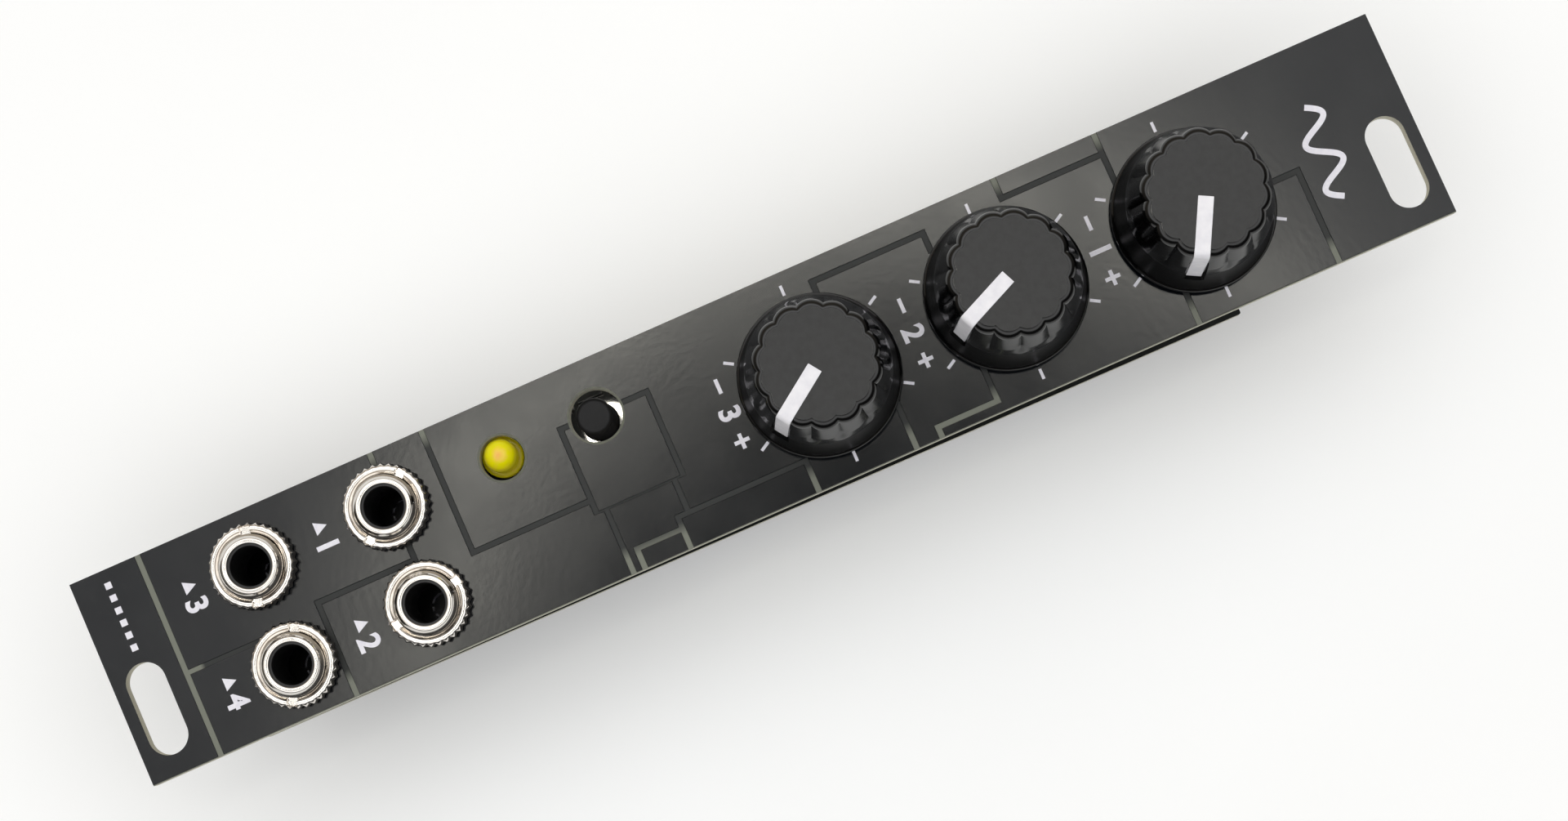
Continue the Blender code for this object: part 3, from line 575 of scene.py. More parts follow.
def piece(name, shape, finishes, body="module", stands_for=(), edge=0.0, cuts=()):
    """A shape as a piece of the model, with holes cut, edges rounded by edge millimetres."""
    thing = bpy.data.objects.new(name, mesh_from(name, shape))
    bpy.context.scene.collection.objects.link(thing)
    for finish in finishes:
        thing.data.materials.append(finish)
    for hole in cuts:
        cut(thing, hole)
    shaded(thing.data)
    if edge:
        bevel = thing.modifiers.new("rounded edges", "BEVEL")
        bevel.width, bevel.segments, bevel.limit_method = edge * MM, 2, "ANGLE"
        bevel.angle_limit, bevel.harden_normals = math.radians(SHARP), True
        bevel.use_clamp_overlap = True
    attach(thing, body)
    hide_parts(*stands_for)
    made.append(name)
    return thing


def cut(thing, shape):
    """Takes a closed shape out of a piece; the walls of the cut keep the shape's finish number."""
    tool = bpy.data.objects.new("tool", mesh_from("tool", shape))
    for finish in thing.data.materials:
        tool.data.materials.append(finish)
    bpy.context.scene.collection.objects.link(tool)
    modifier = thing.modifiers.new("cut", "BOOLEAN")
    modifier.object, modifier.solver, modifier.operation = tool, "EXACT", "DIFFERENCE"
    view = bpy.context.evaluated_depsgraph_get()
    result = bpy.data.meshes.new_from_object(thing.evaluated_get(view))
    thing.modifiers.remove(modifier)
    old, thing.data = thing.data, result
    bpy.data.objects.remove(tool)
    bpy.data.meshes.remove(old)


def dress(finish, *nodes):
    """A CAD node whose shape is right keeps it and only gets a finish."""
    for name in nodes:
        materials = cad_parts[name].data.materials
        materials.clear()
        materials.append(finish)
        made.append(name)


print("sharp folds are over", SHARP, "degrees")

# %% [markdown]
# ## Panel
#
# The panel's face is a grid with a line of points on each side of every groove. Its depth at a
# point is the largest depth of any groove there, and a groove's depth is a clipped ramp: the
# distance to its nearest side, divided by the ramp's width. Holes and slots are cut afterwards,
# because their round walls don't follow the grid, and their walls show the pale glass-epoxy.

# %% Places on the panel
SOCKETS = {1: (5.25, 29.3), 2: (14.7, 29.3), 3: (5.3, 16.15), 4: (14.95, 16.15)}
KNOBS = {1: (10.14, 106.76), 2: (9.78, 88.43), 3: (10.17, 69.9)}
POINTERS = {1: 118, 2: 156, 3: 145}
BUTTON_AT = (5.15, 49.68)
BUTTON_HOLE, BUTTON_HOLE_R = (5.22, 49.92), 2.42
LIGHT_HOLE, LIGHT_HOLE_R = (5.3, 40.6), 2.05
SLOTS = ((13.5, 3.0), (13.5, 125.5))
SOCKET_HOLE_R, KNOB_HOLE_R = 3.15, 3.7
SLOT_W, SLOT_H, SLOT_CORNER = 8.8, 3.7, 1.849
RAMP = 0.05
GROOVES = np.array([  # low x, high x, low y, high y
    (0, 19.8, 6.4, 6.98), (11.4, 11.9, 6.5, 14.0), (10.3, 10.9, 19.8, 30.0), (10.3, 19.8, 19.8, 20.38),
    (0, 10.9, 29.4, 30.0), (0, 12.4, 34.5, 35.08), (11.82, 12.4, 34.5, 46.75), (4.8, 5.36, 46.15, 55.3),
    (4.8, 13.5, 46.15, 46.75), (4.8, 13.5, 54.72, 55.3), (13.25, 13.5, 46.15, 55.3), (13.3, 16.9, 53.8, 54.4),
    (16.38, 16.95, 52.8, 65.95), (16.4, 19.8, 52.72, 53.3), (16.4, 19.8, 65.35, 65.95),
    (17.5, 18.06, 48.2, 53.0), (17.5, 19.8, 48.2, 48.8), (13.3, 19.8, 47.1, 47.68),
    (1.72, 2.32, 72.4, 84.0), (1.72, 3.6, 72.4, 73.0), (1.72, 4.0, 83.4, 84.0), (14.0, 19.8, 75.0, 75.6),
    (15.0, 19.0, 83.42, 84.0), (18.42, 19.0, 77.5, 84.0), (18.42, 19.8, 77.5, 78.1), (0, 2.32, 91.2, 91.8),
    (1.72, 2.32, 91.2, 101.8), (0, 5.5, 101.2, 101.8), (15.5, 19.8, 102.9, 103.5), (10.3, 10.9, 113.0, 117.3),
    (10.3, 19.8, 116.7, 117.3), (19.68, 19.8, 0, 128.5),
])


def groove_depth(x, y):
    """The deepest of all grooves at each point; each is a ramp of the distance to its nearest
    side, and a side on the panel's edge has no ramp."""
    low_x, high_x, low_y, high_y = (GROOVES[:, i, None, None] for i in range(4))
    far = 1.0
    to_low_x = np.where(low_x == 0, far, x - low_x)
    to_high_x = np.where(high_x == PANEL_W, far, high_x - x)
    to_low_y = np.where(low_y == 0, far, y - low_y)
    to_high_y = np.where(high_y == PANEL_H, far, high_y - y)
    nearest = np.minimum(np.minimum(to_low_x, to_high_x), np.minimum(to_low_y, to_high_y))
    return GROOVE * np.clip(nearest / RAMP, 0, 1).max(axis=0)


def lines_across(sides, length):
    """Grid lines at both ends of every ramp, without doubles."""
    both = np.concatenate([[0, length], sides, sides + RAMP, sides - RAMP])
    return np.unique(np.round(np.clip(both, 0, length), 3))


def slab(x, y, depth, low):
    """A plate whose upper face is a grid: each row runs along the top and back along the bottom."""
    top = np.stack(np.broadcast_arrays(x[:, None], y[None, :], -depth), axis=-1)
    bottom = top[:, ::-1].copy()
    bottom[..., 2] = low
    points = np.concatenate([top, bottom], axis=1)
    rows, columns = points.shape[:2]
    index = np.arange(rows * columns).reshape(rows, columns)
    faces = cells(rows, columns, True)
    half = columns // 2
    wall = np.isin(faces[:, 0] % columns, (half - 1, columns - 1))
    ends = [np.stack([i[: half - 1], i[1:half], i[::-1][1:half], i[::-1][: half - 1]], axis=-1)
            for i in (index[0], index[-1])]
    ends[0] = ends[0][:, ::-1]
    return outwards(points.reshape(-1, 3), [(faces[~wall], 0), (faces[wall], 1), (np.concatenate(ends), 1)])


xs = lines_across(GROOVES[:, :2].ravel(), PANEL_W)
ys = lines_across(GROOVES[:, 2:].ravel(), PANEL_H)
panel_shape = slab(xs, ys, groove_depth(xs[:, None], ys[None, :]), -PANEL_T)


def cutter(outline, at):
    """A tool right through the panel; the walls that it leaves have the cut board's finish."""
    return moved(prism(outline, -3, 1, 1), *at)


OPEN_HOLES = ((BUTTON_HOLE, BUTTON_HOLE_R), (LIGHT_HOLE, LIGHT_HOLE_R))
holes = [cutter(circle(SOCKET_HOLE_R), at) for at in SOCKETS.values()]
holes += [cutter(circle(KNOB_HOLE_R), at) for at in KNOBS.values()]
holes += [cutter(circle(r), at) for at, r in OPEN_HOLES]
holes += [cutter(rounded(SLOT_W, SLOT_H, SLOT_CORNER, 24), at) for at in SLOTS]
panel = piece("panel_plate", panel_shape, [solder_mask, cut_board],
              stands_for=["front_panel"], cuts=[joined(*holes)])
print("panel grid", len(xs), "by", len(ys), "lines,", len(panel.data.polygons), "faces")

# %% [markdown]
# A drilled hole has a narrow rim without copper round it, and the same pale light comes through there. Round
# the button's hole and the light's hole that light is painted in as a thin olive ring. The ring is a flat
# band of bare glass-epoxy under mask, about a hundredth of a millimetre proud.

# %% Rims of the two open holes
RIM_OF_HOLE = 0.22
# Mask over bare board, coloured pale olive: painted light from behind the panel
rim_with_painted_backlight = grained_finish("bare_board_with_painted_backlight", ("#4a4c40", "#5d5f50"), 0.6, 0.4, ior=1.5)


def rim(radius, width):
    """A flat ring that starts a little outside the hole's wall."""
    inner, outer, low, high = radius + 0.01, radius + width, -0.04, 0.012
    return spun(ring([(inner, low), (outer, low), (outer - 0.01, high), (inner, high)]), 96)


rims = joined(*(moved(rim(r, RIM_OF_HOLE), *at) for at, r in OPEN_HOLES))
piece("hole_rims", rims, [rim_with_painted_backlight])
print("rims", RIM_OF_HOLE, "mm wide")

# %% [markdown]
# ## Print
#
# Screen print on a panel is a layer of thick ink. Letters come from Blender's own font: a text
# object is turned into a mesh, its points are read as one array, scaled to the wanted height and
# moved to their place. That is quicker than drawing each letter's outline by hand.

# %% Lettering
PRINT_LOW, PRINT_HIGH = -0.02, 0.03


def lettering(text, height, x, y):
    """The text's outline, its middle at x and y and its height as given, as a solid layer of ink."""
    curve = bpy.data.curves.new("text", "FONT")
    curve.body, curve.extrude, curve.resolution_u, curve.offset = text, 0.5, 6, 0.03
    thing = bpy.data.objects.new("text", curve)
    bpy.context.scene.collection.objects.link(thing)
    view = bpy.context.evaluated_depsgraph_get()
    mesh = bpy.data.meshes.new_from_object(thing.evaluated_get(view))
    points = np.empty(len(mesh.vertices) * 3)
    mesh.vertices.foreach_get("co", points)
    start, total = (np.empty(len(mesh.polygons), int) for _ in range(2))
    mesh.polygons.foreach_get("loop_start", start)
    mesh.polygons.foreach_get("loop_total", total)
    corner = np.empty(len(mesh.loops), int)
    mesh.loops.foreach_get("vertex_index", corner)
    bpy.data.objects.remove(thing)
    points = points.reshape(-1, 3)
    low, high = points.min(axis=0), points.max(axis=0)
    scale = height / (high[1] - low[1])
    points = (points - (low + high) / 2) * (scale, scale, 1) + (x, y, 0)
    points[:, 2] = np.where(points[:, 2] > 0, PRINT_HIGH, PRINT_LOW)
    groups = [(corner[start[total == k][:, None] + np.arange(k)], 0) for k in np.unique(total)]
    return points, groups


one = lettering("1", 2.1, 0, 0)[0]
print("a printed 1 is", round(np.ptp(one[:, 0]), 2), "mm wide")

# %% [markdown]
# Each knob has six marks round it and each control a label. The labels here are plain numbers with
# generic signs, at the size of the real ones, and a wave and six squares fill the two ends of the
# panel. All of it is one piece, because it is printed in one pass.

# %% Numbers, signs and marks
MARK_IN, MARK_OUT, MARK_W = 7.72, 8.7, 0.28
MARKS_X, MARKS_Y = 9.88, {1: 106.72, 2: 88.32, 3: 69.92}
LABEL_X, LABELS_Y, LABEL_H = 10.0, {1: 97.75, 2: 79.25, 3: 61.1}, 2.1
SOCKET_LABELS, SOCKET_LABEL_H = {1: (5.35, 23.0), 2: (14.95, 23.0), 3: (5.5, 10.0), 4: (14.95, 10.0)}, 2.15
WAVE_AT, WAVE_HALF, WAVE_RISE, WAVE_LINE = (10.0, 119.9), 4.4, 1.35, 0.55
SQUARE, SQUARES_Y = 0.62, 3.25
PLUS_QUARTER = np.array([(1, 1), (1, 4), (-1, 4)]) * 0.18
ARROW = np.array([(-0.62, -0.55), (0.62, -0.55), (0.0, 0.62)])


def line(x0, y0, x1, y1, width):
    """A straight band of ink between two points."""
    return stroke([(x0, y0), (x1, y1)], width, PRINT_LOW, PRINT_HIGH)


def marks(x, y):
    """Six short marks round a knob, 60 degrees apart, each a band along its radius."""
    tick = line(0, MARK_IN, 0, MARK_OUT, MARK_W)
    return repeated(tick, np.tile((x, y, 0), (6, 1)), np.arange(6) * 60 + 30)


def plus_outline():
    """One arm's corners turned four times by a right angle: (x, y) becomes (-y, x)."""
    x, y = PLUS_QUARTER.T
    return np.concatenate([np.column_stack(arm) for arm in ((x, y), (-y, x), (-x, -y), (y, -x))])


PLUS = plus_outline()
wave_x = np.linspace(-WAVE_HALF, WAVE_HALF, 97)
wave = np.column_stack([wave_x, WAVE_RISE * np.sin(wave_x / WAVE_HALF * math.tau)]) + WAVE_AT
printed = [stroke(wave, WAVE_LINE, PRINT_LOW, PRINT_HIGH)]
for number, y in LABELS_Y.items():
    printed += [marks(MARKS_X, MARKS_Y[number]), lettering(str(number), LABEL_H, LABEL_X, y)]
    printed += [line(LABEL_X - 3.4, y, LABEL_X - 2.0, y, 0.36)]
    printed.append(prism(PLUS + (LABEL_X + 2.7, y), PRINT_LOW, PRINT_HIGH))
for number, (x, y) in SOCKET_LABELS.items():
    printed += [prism(ARROW + (x - 0.95, y), PRINT_LOW, PRINT_HIGH)]
    printed += [lettering(str(number), SOCKET_LABEL_H, x + 0.85, y)]
squares = np.column_stack([np.linspace(1.5, 7.6, 6), np.full(6, SQUARES_Y), np.full(6, 0.005)])
printed.append(blocks_at(squares, (SQUARE, SQUARE, PRINT_HIGH - PRINT_LOW)))
piece("panel_print", joined(*printed), [ink])
print("printed signs:", len(printed))

# %% [markdown]
# ## Sockets
#
# A patch socket is a nylon body with a turned bush in front. The bush comes through the panel and
# a round nut with a knurled side and two key slots holds it. Its thread is one surface: the radius
# at a point follows a triangle wave of height over pitch, less the share of a turn, so the crests
# climb round it as on a real screw.

# %% Bush with a thread
BOARD_FACE = -11.6
BOARD_BACK = -13.2
SEAT = BOARD_FACE + 0.3
HOUSING_TOP = -PANEL_T - 0.3
THREAD_R, THREAD_DEPTH, PITCH = 2.9, 0.16, 0.5
THREAD_LOW, THREAD_END = -1.8, 2.36
FLANGE_TOP = HOUSING_TOP - 2.7 - 0.3
FLANGE_LOW = FLANGE_TOP - 0.6


def thread(angle, r, z):
    """The radius less a triangle wave of (height / pitch - share of a turn), faded at both ends."""
    phase = (z / PITCH - angle / math.tau) % 1
    wave = 1 - np.abs(2 * phase - 1)
    fade = np.clip((z - THREAD_LOW) / PITCH, 0, 1) * np.clip((THREAD_END - z) / PITCH, 0, 1)
    return np.where(r > THREAD_R - 0.01, r - THREAD_DEPTH * wave * fade, r), z


def bush_shape():
    """Rows from the bore's foot out round the flange, up the thread, over the rim and down inside.
    A black sleeve lines the bore, so its last rows have the second finish."""
    profile = [(1.8, FLANGE_LOW), (3.25, FLANGE_LOW), (3.3, FLANGE_LOW + 0.05), (3.3, FLANGE_TOP)]
    profile += [(THREAD_R, z) for z in np.linspace(FLANGE_TOP, 2.38, 97)]
    lip = [(2.86, 2.42), (2.72, 2.5), (2.67, 2.58), (2.56, 2.66), (2.53, 2.73), (2.46, 2.785), (2.38, 2.8),
           (2.2, 2.8), (2.12, 2.785), (2.06, 2.74), (2.04, 2.66), (2.04, 2.42)]
    sleeve = [(2.03, 2.4), (1.86, 2.4), (1.8, 2.34)]
    finishes = [0] * (len(profile) + len(lip) - 1) + [1] * (len(sleeve) + 1)
    return spun(ring(profile + lip + sleeve), 72, thread, finishes)


bush = bush_shape()
for number, at in SOCKETS.items():
    piece(f"socket_{number}_bush", moved(bush, *at), [nickel, nylon],
          stands_for=[f"jack_{number}_bush"])
print("thread pitch", PITCH, "mm, bush has", len(bush[0]), "points")

# %% [markdown]
# The nut's side is a straight knurl of 32 teeth, cut as far as the chamfer. Inside its bright
# upper edge a cone leads down to the bush. Two slots for a key cross it, and each nut was left
# at its own turn. All of it is one spun surface: the radius loses a tooth wave near the outside,
# and the height is capped inside the slots, where a point lies within half a slot's width of the
# line through the middle.

# %% Knurled nuts
NUT_TURNS = {1: 43, 2: 13, 3: 77, 4: 66}
NUT_R, TEETH, TOOTH_DEPTH = 3.98, 32, 0.2
KEY_HALF, KEY_FLOOR = 0.46, 1.5


def nut_shape(turn):
    """Rows from the bore's foot out, up the knurled side, over the bright edge and down the cone."""
    profile = [(2.96, 0.3), (3.9, 0.3), (NUT_R, 0.38)]
    profile += [(NUT_R, z) for z in np.linspace(0.5, 1.5, 4)]
    knurled = len(profile)
    profile += [(3.94, 1.64), (3.86, 1.78), (3.76, 1.89), (3.64, 1.96), (3.5, 2.0), (3.36, 1.99)]
    profile += [(3.25, 1.94), (3.19, 1.86), (3.1, 1.78), (3.02, 1.75), (2.96, 1.66)]

    def change(angle, r, z):
        """The radius less a tooth, a power of 0.5 + 0.5 cos(teeth times angle); the height at most
        that of the slot's floor, within half a slot's width of the line through the middle."""
        tooth = 0.5 + 0.5 * np.cos(TEETH * angle)
        outside = np.clip((r - 3.7) / 0.22, 0, 1)
        across = np.abs(r * np.cos(angle - math.radians(turn)))
        in_slot = np.clip((KEY_HALF - across) / 0.06, 0, 1) * np.clip((3.8 - r) / 0.1, 0, 1)
        lowered = np.minimum(z, KEY_FLOOR)
        return r - TOOTH_DEPTH * outside * tooth**0.8, z + (lowered - z) * in_slot

    finishes = [1] * knurled + [0] * (len(profile) - knurled)
    return spun(ring(profile), TEETH * 10, change, finishes)


for number, at in SOCKETS.items():
    piece(f"socket_{number}_nut", moved(nut_shape(NUT_TURNS[number]), *at), [nickel, knurl],
          stands_for=[f"jack_{number}_nut"])
print("tooth pitch", round(math.tau * NUT_R / TEETH, 2), "mm")

# %% [markdown]
# The nylon body is a box with cut corners, open below. A window in its upper wall shows the sprung
# contact, and a groove runs down each side. The contacts themselves are plain bent strips, and the
# CAD model already has their shape, so they only get their bronze.

# %% Socket bodies


def socket_body():
    """An outline with cut corners, carried up from just above the board to just below the panel."""
    outline = [(-4.3, -4.1), (-3.7, -4.7), (3.7, -4.7), (4.3, -4.1)]
    outline += [(4.3, 5.1), (3.7, 5.7), (-3.7, 5.7), (-4.3, 5.1)]
    return prism(outline, SEAT, HOUSING_TOP)


room = blocks((-3.6, -3.8, SEAT - 1), (3.6, 4.8, HOUSING_TOP - 2.7))
front = prism(circle(3.1, 48), SEAT, HOUSING_TOP + 1)
window = blocks((-1.6, 4.0, -9.6), (1.6, 6.0, -5.6))
notches = mirrored_blocks((1.9, -6, SEAT - 1), (2.9, -4.2, -9.9))
grooves = mirrored_blocks((4.1, -1.2, SEAT - 1), (5, 1.2, -3.6))
for number, at in SOCKETS.items():
    tools = [moved(joined(room, window, notches, grooves), *at), moved(front, *at)]
    piece(f"socket_{number}_body", moved(socket_body(), *at), [nylon],
          stands_for=[f"jack_{number}_housing"], edge=0.12, cuts=tools)
    dress(bronze, f"jack_{number}_tip_spring", f"jack_{number}_switch_contact")
print("socket bodies", round(HOUSING_TOP - SEAT, 1), "mm deep")

# %% [markdown]
# ## Potentiometers and knobs
#
# Behind each knob sits a potentiometer in a folded tin can. Its lugs bend over the wafer and its
# side tabs go down through the board. The bush, wafer, nut and shaft keep their CAD shapes: they
# lie under the knob or inside the can.

# %% Cans
CAN_TOP = -4.9
CAN, CAN_ROOM, CAN_SHIFT = (9.6, 11.2), (8.4, 10.0), (0, -0.7)


def can_shape():
    """The folded shell, the pressed collar round the bush, and the tabs and lugs as one."""
    shell = prism(rounded(*CAN, 0.7, 4) + CAN_SHIFT, SEAT, CAN_TOP)
    collar = moved(spun([(0, -5), (4.6, -5), (4.6, -4.75), (4.45, -4.65), (0, -4.65)], 48), 0, 0, 0.02)
    tabs = mirrored_blocks((4.6, -1.2, -13.0), (4.85, 1.2, -8.8))
    lugs = mirrored_blocks((2.2, 4.85, SEAT), (3.6, 5.15, -9.4))
    return shell, collar, joined(tabs, lugs)


shell, collar, tabs = can_shape()
inside = prism(rounded(*CAN_ROOM, 0.4, 4) + CAN_SHIFT, SEAT - 1, CAN_TOP - 0.6)
opening = prism(circle(3.18, 48), SEAT, 0)
for number, at in KNOBS.items():
    tools = [moved(inside, *at), moved(opening, *at)]
    piece(f"pot_{number}_shell", moved(shell, *at), [tin_plate],
          stands_for=[f"pot_{number}_can"], edge=0.25, cuts=tools)
    piece(f"pot_{number}_tabs", moved(tabs, *at), [tin_plate], edge=0.05)
    dress(phenolic, f"pot_{number}_wafer")
    dress(nickel, f"pot_{number}_bush", f"pot_{number}_nut")
    dress(tin_plate, f"pot_{number}_shaft")
print("cans", round(CAN_TOP - SEAT, 1), "mm high")

# %% [markdown]
# A knob like this is a steep glossy cone on a thin flat edge, and it leans in more over its upper
# third. Fourteen flutes fade in below that bend and have their full depth just above it. Seen from
# above, each is a sharp valley between two round lobes. So the radius is a bent line of the height,
# less the flute's depth times one minus a power of the sine of the angle in the lobe, and the
# depth fades by a smooth step in height.
# The upper third mirrors the white floor beyond the panel, and the steeper foot the dark panel.

# %% Knob surface
KNOB_LOW, KNOB_TOP = 0.9, 12.7
SKIRT_R, CAP_ROUND = 7.5, 0.6
FOOT_R, BREAK_R, LOBE_R = 7.25, 6.38, 5.65
FOOT_Z, BREAK_Z = 1.6, 9.0
FLUTES, FLUTE_DEPTH, FLUTE_END, FLUTE_FULL = 14, 0.36, 7.0, 9.4
BAR_HALF, BAR_FOOT_R, BAR_FOOT_Z, BAR_TOP_R = 0.7, 6.48, 5.3, 5.83
GLOSS, MATT, SIDE, FOOT = range(4)


def taper_radius(z):
    """Two straight lines, from the skirt up to the bend and on to the cap's edge."""
    return np.interp(z, (FOOT_Z, BREAK_Z, KNOB_TOP), (FOOT_R, BREAK_R, LOBE_R))


def bar_radius(z):
    """The white bar's own straight line, from its foot up to the cap's edge."""
    return np.interp(z, (BAR_FOOT_Z, KNOB_TOP - CAP_ROUND), (BAR_FOOT_R, BAR_TOP_R))


def fluted_radius(angle, z):
    """The taper less the valleys: one minus a power of the sine of the angle in the lobe, times a
    smooth step t t (3 - 2 t) of the height. Within the bar's width of the pointer, the radius is
    at most that of the bar's channel."""
    t = np.clip((z - FLUTE_END) / (FLUTE_FULL - FLUTE_END), 0, 1)
    valley = FLUTE_DEPTH * (1 - np.abs(np.sin(FLUTES * (angle - math.pi / 2) / 2)) ** 0.8)
    radius = taper_radius(z) - valley * t * t * (3 - 2 * t)
    across = np.abs(radius * np.cos(angle))
    channel = np.clip((BAR_HALF + 0.14 - across) / 0.12, 0, 1) * (np.sin(angle) > 0) * (z > BAR_FOOT_Z)
    return radius + (np.minimum(radius, bar_radius(z) - 0.08) - radius) * channel


def knob_shape():
    """Rows from inside the bore, round the skirt, up the side and over the cap to its middle."""
    inner = [(0.0, 11.2), (3.25, 11.2), (3.25, 2.9), (6.25, 2.9), (6.25, KNOB_LOW)]
    skirt = [(SKIRT_R - 0.06, KNOB_LOW), (SKIRT_R, KNOB_LOW + 0.06), (SKIRT_R, 1.28), (SKIRT_R - 0.02, 1.35)]
    skirt += [(SKIRT_R - 0.06, 1.42), (SKIRT_R - 0.13, 1.49), (FOOT_R, FOOT_Z)]
    side = np.linspace(FOOT_Z + 0.2, KNOB_TOP - CAP_ROUND, 44)
    bend = np.linspace(0, math.pi / 2, 9)[1:]
    cap = np.array([0.99, 0.9, 0.7, 0.4, 0.15, 0.0])
    heights = np.concatenate([side, KNOB_TOP - CAP_ROUND * (1 - np.sin(bend)), np.full(len(cap), KNOB_TOP)])
    inset = np.concatenate([0 * side, CAP_ROUND * (1 - np.cos(bend)), np.full(len(cap), CAP_ROUND)])
    scale = np.concatenate([1 + 0 * side, 1 + 0 * bend, cap])
    first = len(inner) + len(skirt)
    profile = inner + skirt + [(SKIRT_R, h) for h in heights]

    def change(angle, r, z):
        """From the side upwards, the fluted radius less the rounding, drawn in over the cap."""
        fluted = (fluted_radius(angle[first:], z[first:]) - inset[:, None]) * scale[:, None]
        return np.concatenate([r[:first], fluted]), z

    finishes = np.full(len(profile) - 1, GLOSS)
    finishes[first : first + len(side) - 1] = np.where(side[:-1] > FLUTE_END, SIDE, FOOT)
    finishes[first - 1] = FOOT
    finishes[-len(cap) :] = MATT
    return spun(profile, FLUTES * 16, change, finishes)


KNOB_FINISHES = [knob_gloss, knob_matt, knob_side, knob_foot]  # as GLOSS, MATT, SIDE and FOOT
knob = knob_shape()
for number, at in KNOBS.items():
    piece(f"knob_{number}", moved(knob, *at, turn=-POINTERS[number]), KNOB_FINISHES,
          body=f"knob_{number}", stands_for=[f"pot_{number}_knob"])
print("knob surface has", len(knob[0]), "points")

# %% [markdown]
# The white bar is pressed into a channel: along the cap, bent over its edge and down the side. It
# is a band of constant width along that bent line, three hundredths of a millimetre proud of the
# cap, with its edges slightly rounded. Towards its foot it lies deeper than the side round it.

# %% White bars
BAR_START, BAR_DEEP, BAR_PROUD = 0.35, 0.7, 0.03


def bar_shape():
    """A closed outline in (y, z), carried across the bar's width; y is along the pointer."""
    top, low = KNOB_TOP + BAR_PROUD, BAR_FOOT_Z
    bend = np.linspace(0, math.pi / 2, 6)
    over_r, over_z = BAR_TOP_R - CAP_ROUND * (1 - np.cos(bend)), top - CAP_ROUND * (1 - np.sin(bend))
    under = top - BAR_DEEP
    inner = np.array([(BAR_START, under), (BAR_TOP_R - 0.9, under), (BAR_FOOT_R - BAR_DEEP, low)])
    outline = np.vstack([(BAR_FOOT_R, low), np.column_stack([over_r, over_z]), (BAR_START, top), inner])
    sides = [np.column_stack([np.full(len(outline), x), outline]) for x in (-BAR_HALF, BAR_HALF)]
    return loops(sides)


for number, at in KNOBS.items():
    piece(f"knob_{number}_bar", moved(bar_shape(), *at, turn=-POINTERS[number]), [bar_white],
          body=f"knob_{number}", stands_for=[f"pot_{number}_pointer"], edge=0.06)
print("bars point", list(POINTERS.values()), "degrees clockwise from the top")

# %% [markdown]
# ## Push button and light
#
# Through its hole the panel shows the button's flat plunger and, round it, the steel cover of the
# switch. The cover is a square sheet with four riveted corners, folded down at two sides. It is
# pressed on about half a degree off level, enough for it to catch the lamps round the lens.

# %% Button
SWITCH_TOP = SEAT + 3.2
LID_SLOPE = (0.008, 0.004)
LID_T, RIVET_AT = 0.3, (-2.15, 2.15)


def plunger_shape():
    """Rows over the rounded top, down the stem to its collar and back to the axis."""
    bend = np.linspace(0, math.pi / 2, 8)
    over = np.column_stack([1.22 + 0.48 * np.sin(bend), -1.08 + 0.48 * np.cos(bend)])
    foot = SWITCH_TOP - 1.0
    profile = np.vstack([(0, -0.6), over, (1.7, -8.4), (2.15, -8.4), (2.15, foot), (0, foot)])
    return spun(profile, 64)


piece("button_cap", moved(plunger_shape(), *BUTTON_AT), [button_plastic],
      body="push_button", stands_for=["button_plunger"])
well = prism(circle(2.4, 48), SWITCH_TOP - 1.6, SWITCH_TOP + 1)
piece("button_body", moved(prism(rounded(6, 6, 0.4), SEAT, SWITCH_TOP), *BUTTON_AT), [nylon],
      stands_for=["button_base"], edge=0.08, cuts=[moved(well, *BUTTON_AT)])
lid = SWITCH_TOP + 0.3
plate = prism(rounded(5.6, 5.6, 0.35), lid, lid + LID_T)
plate[0][:, 2] += plate[0][:, :2] @ LID_SLOPE
mouth = prism(circle(1.8, 64), lid - 1, lid + 1)
tongues = mirrored_blocks((2.2, -1.25, lid - 1), (2.4, 1.25, lid + 1))
rivet = spun([(0, 0.25), (0.25, 0.2), (0.42, 0.05), (0.45, -0.1), (0, -0.1)], 20)
rivets = repeated(rivet, [(x, y, lid + LID_T) for x in RIVET_AT for y in RIVET_AT])
folds = mirrored_blocks((3.02, -1.4, SEAT + 0.4), (3.12, 1.4, lid + 0.2))
bridges = mirrored_blocks((2.42, -1.2, lid + 0.02), (3.12, 1.2, lid + 0.36))
piece("button_lid", moved(plate, *BUTTON_AT), [steel], stands_for=["button_cover"],
      edge=0.12, cuts=[moved(mouth, *BUTTON_AT), moved(tongues, *BUTTON_AT)])
lid_folds = moved(joined(rivets, folds, bridges), *BUTTON_AT)
piece("button_lid_folds", lid_folds, [steel], edge=0.1)
print("button travels 0.3 mm")

# %% [markdown]
# The module's own light is a dome on a cylinder. It stands out of its hole in the panel, and its
# wider rim stays just behind the panel. One profile spun round its axis gives all of it: a quarter
# circle, whose radius is the sine and whose height is the cosine of the angle, and straight lines
# down to the foot.

# %% Light
DOME_R, DOME_FOOT = 1.5, -0.15
bend = np.linspace(0, math.pi / 2, 17)
dome = np.column_stack([DOME_R * np.sin(bend), DOME_FOOT + DOME_R * np.cos(bend)])
foot_rim = [(1.8, -1.9), (1.88, -1.94), (1.9, -2.0), (1.9, -2.85), (1.85, -2.9), (0, -2.9)]
lens_profile = np.vstack([dome, (DOME_R, -1.9), foot_rim])
piece("lamp_lens", moved(spun(lens_profile, 96), *LIGHT_AT), [tinted_epoxy],
      stands_for=["led_lens"])
dress(tin_plate, "led_anode_lead", "led_cathode_lead")
print("lamp dome", 2 * DOME_R, "mm across")
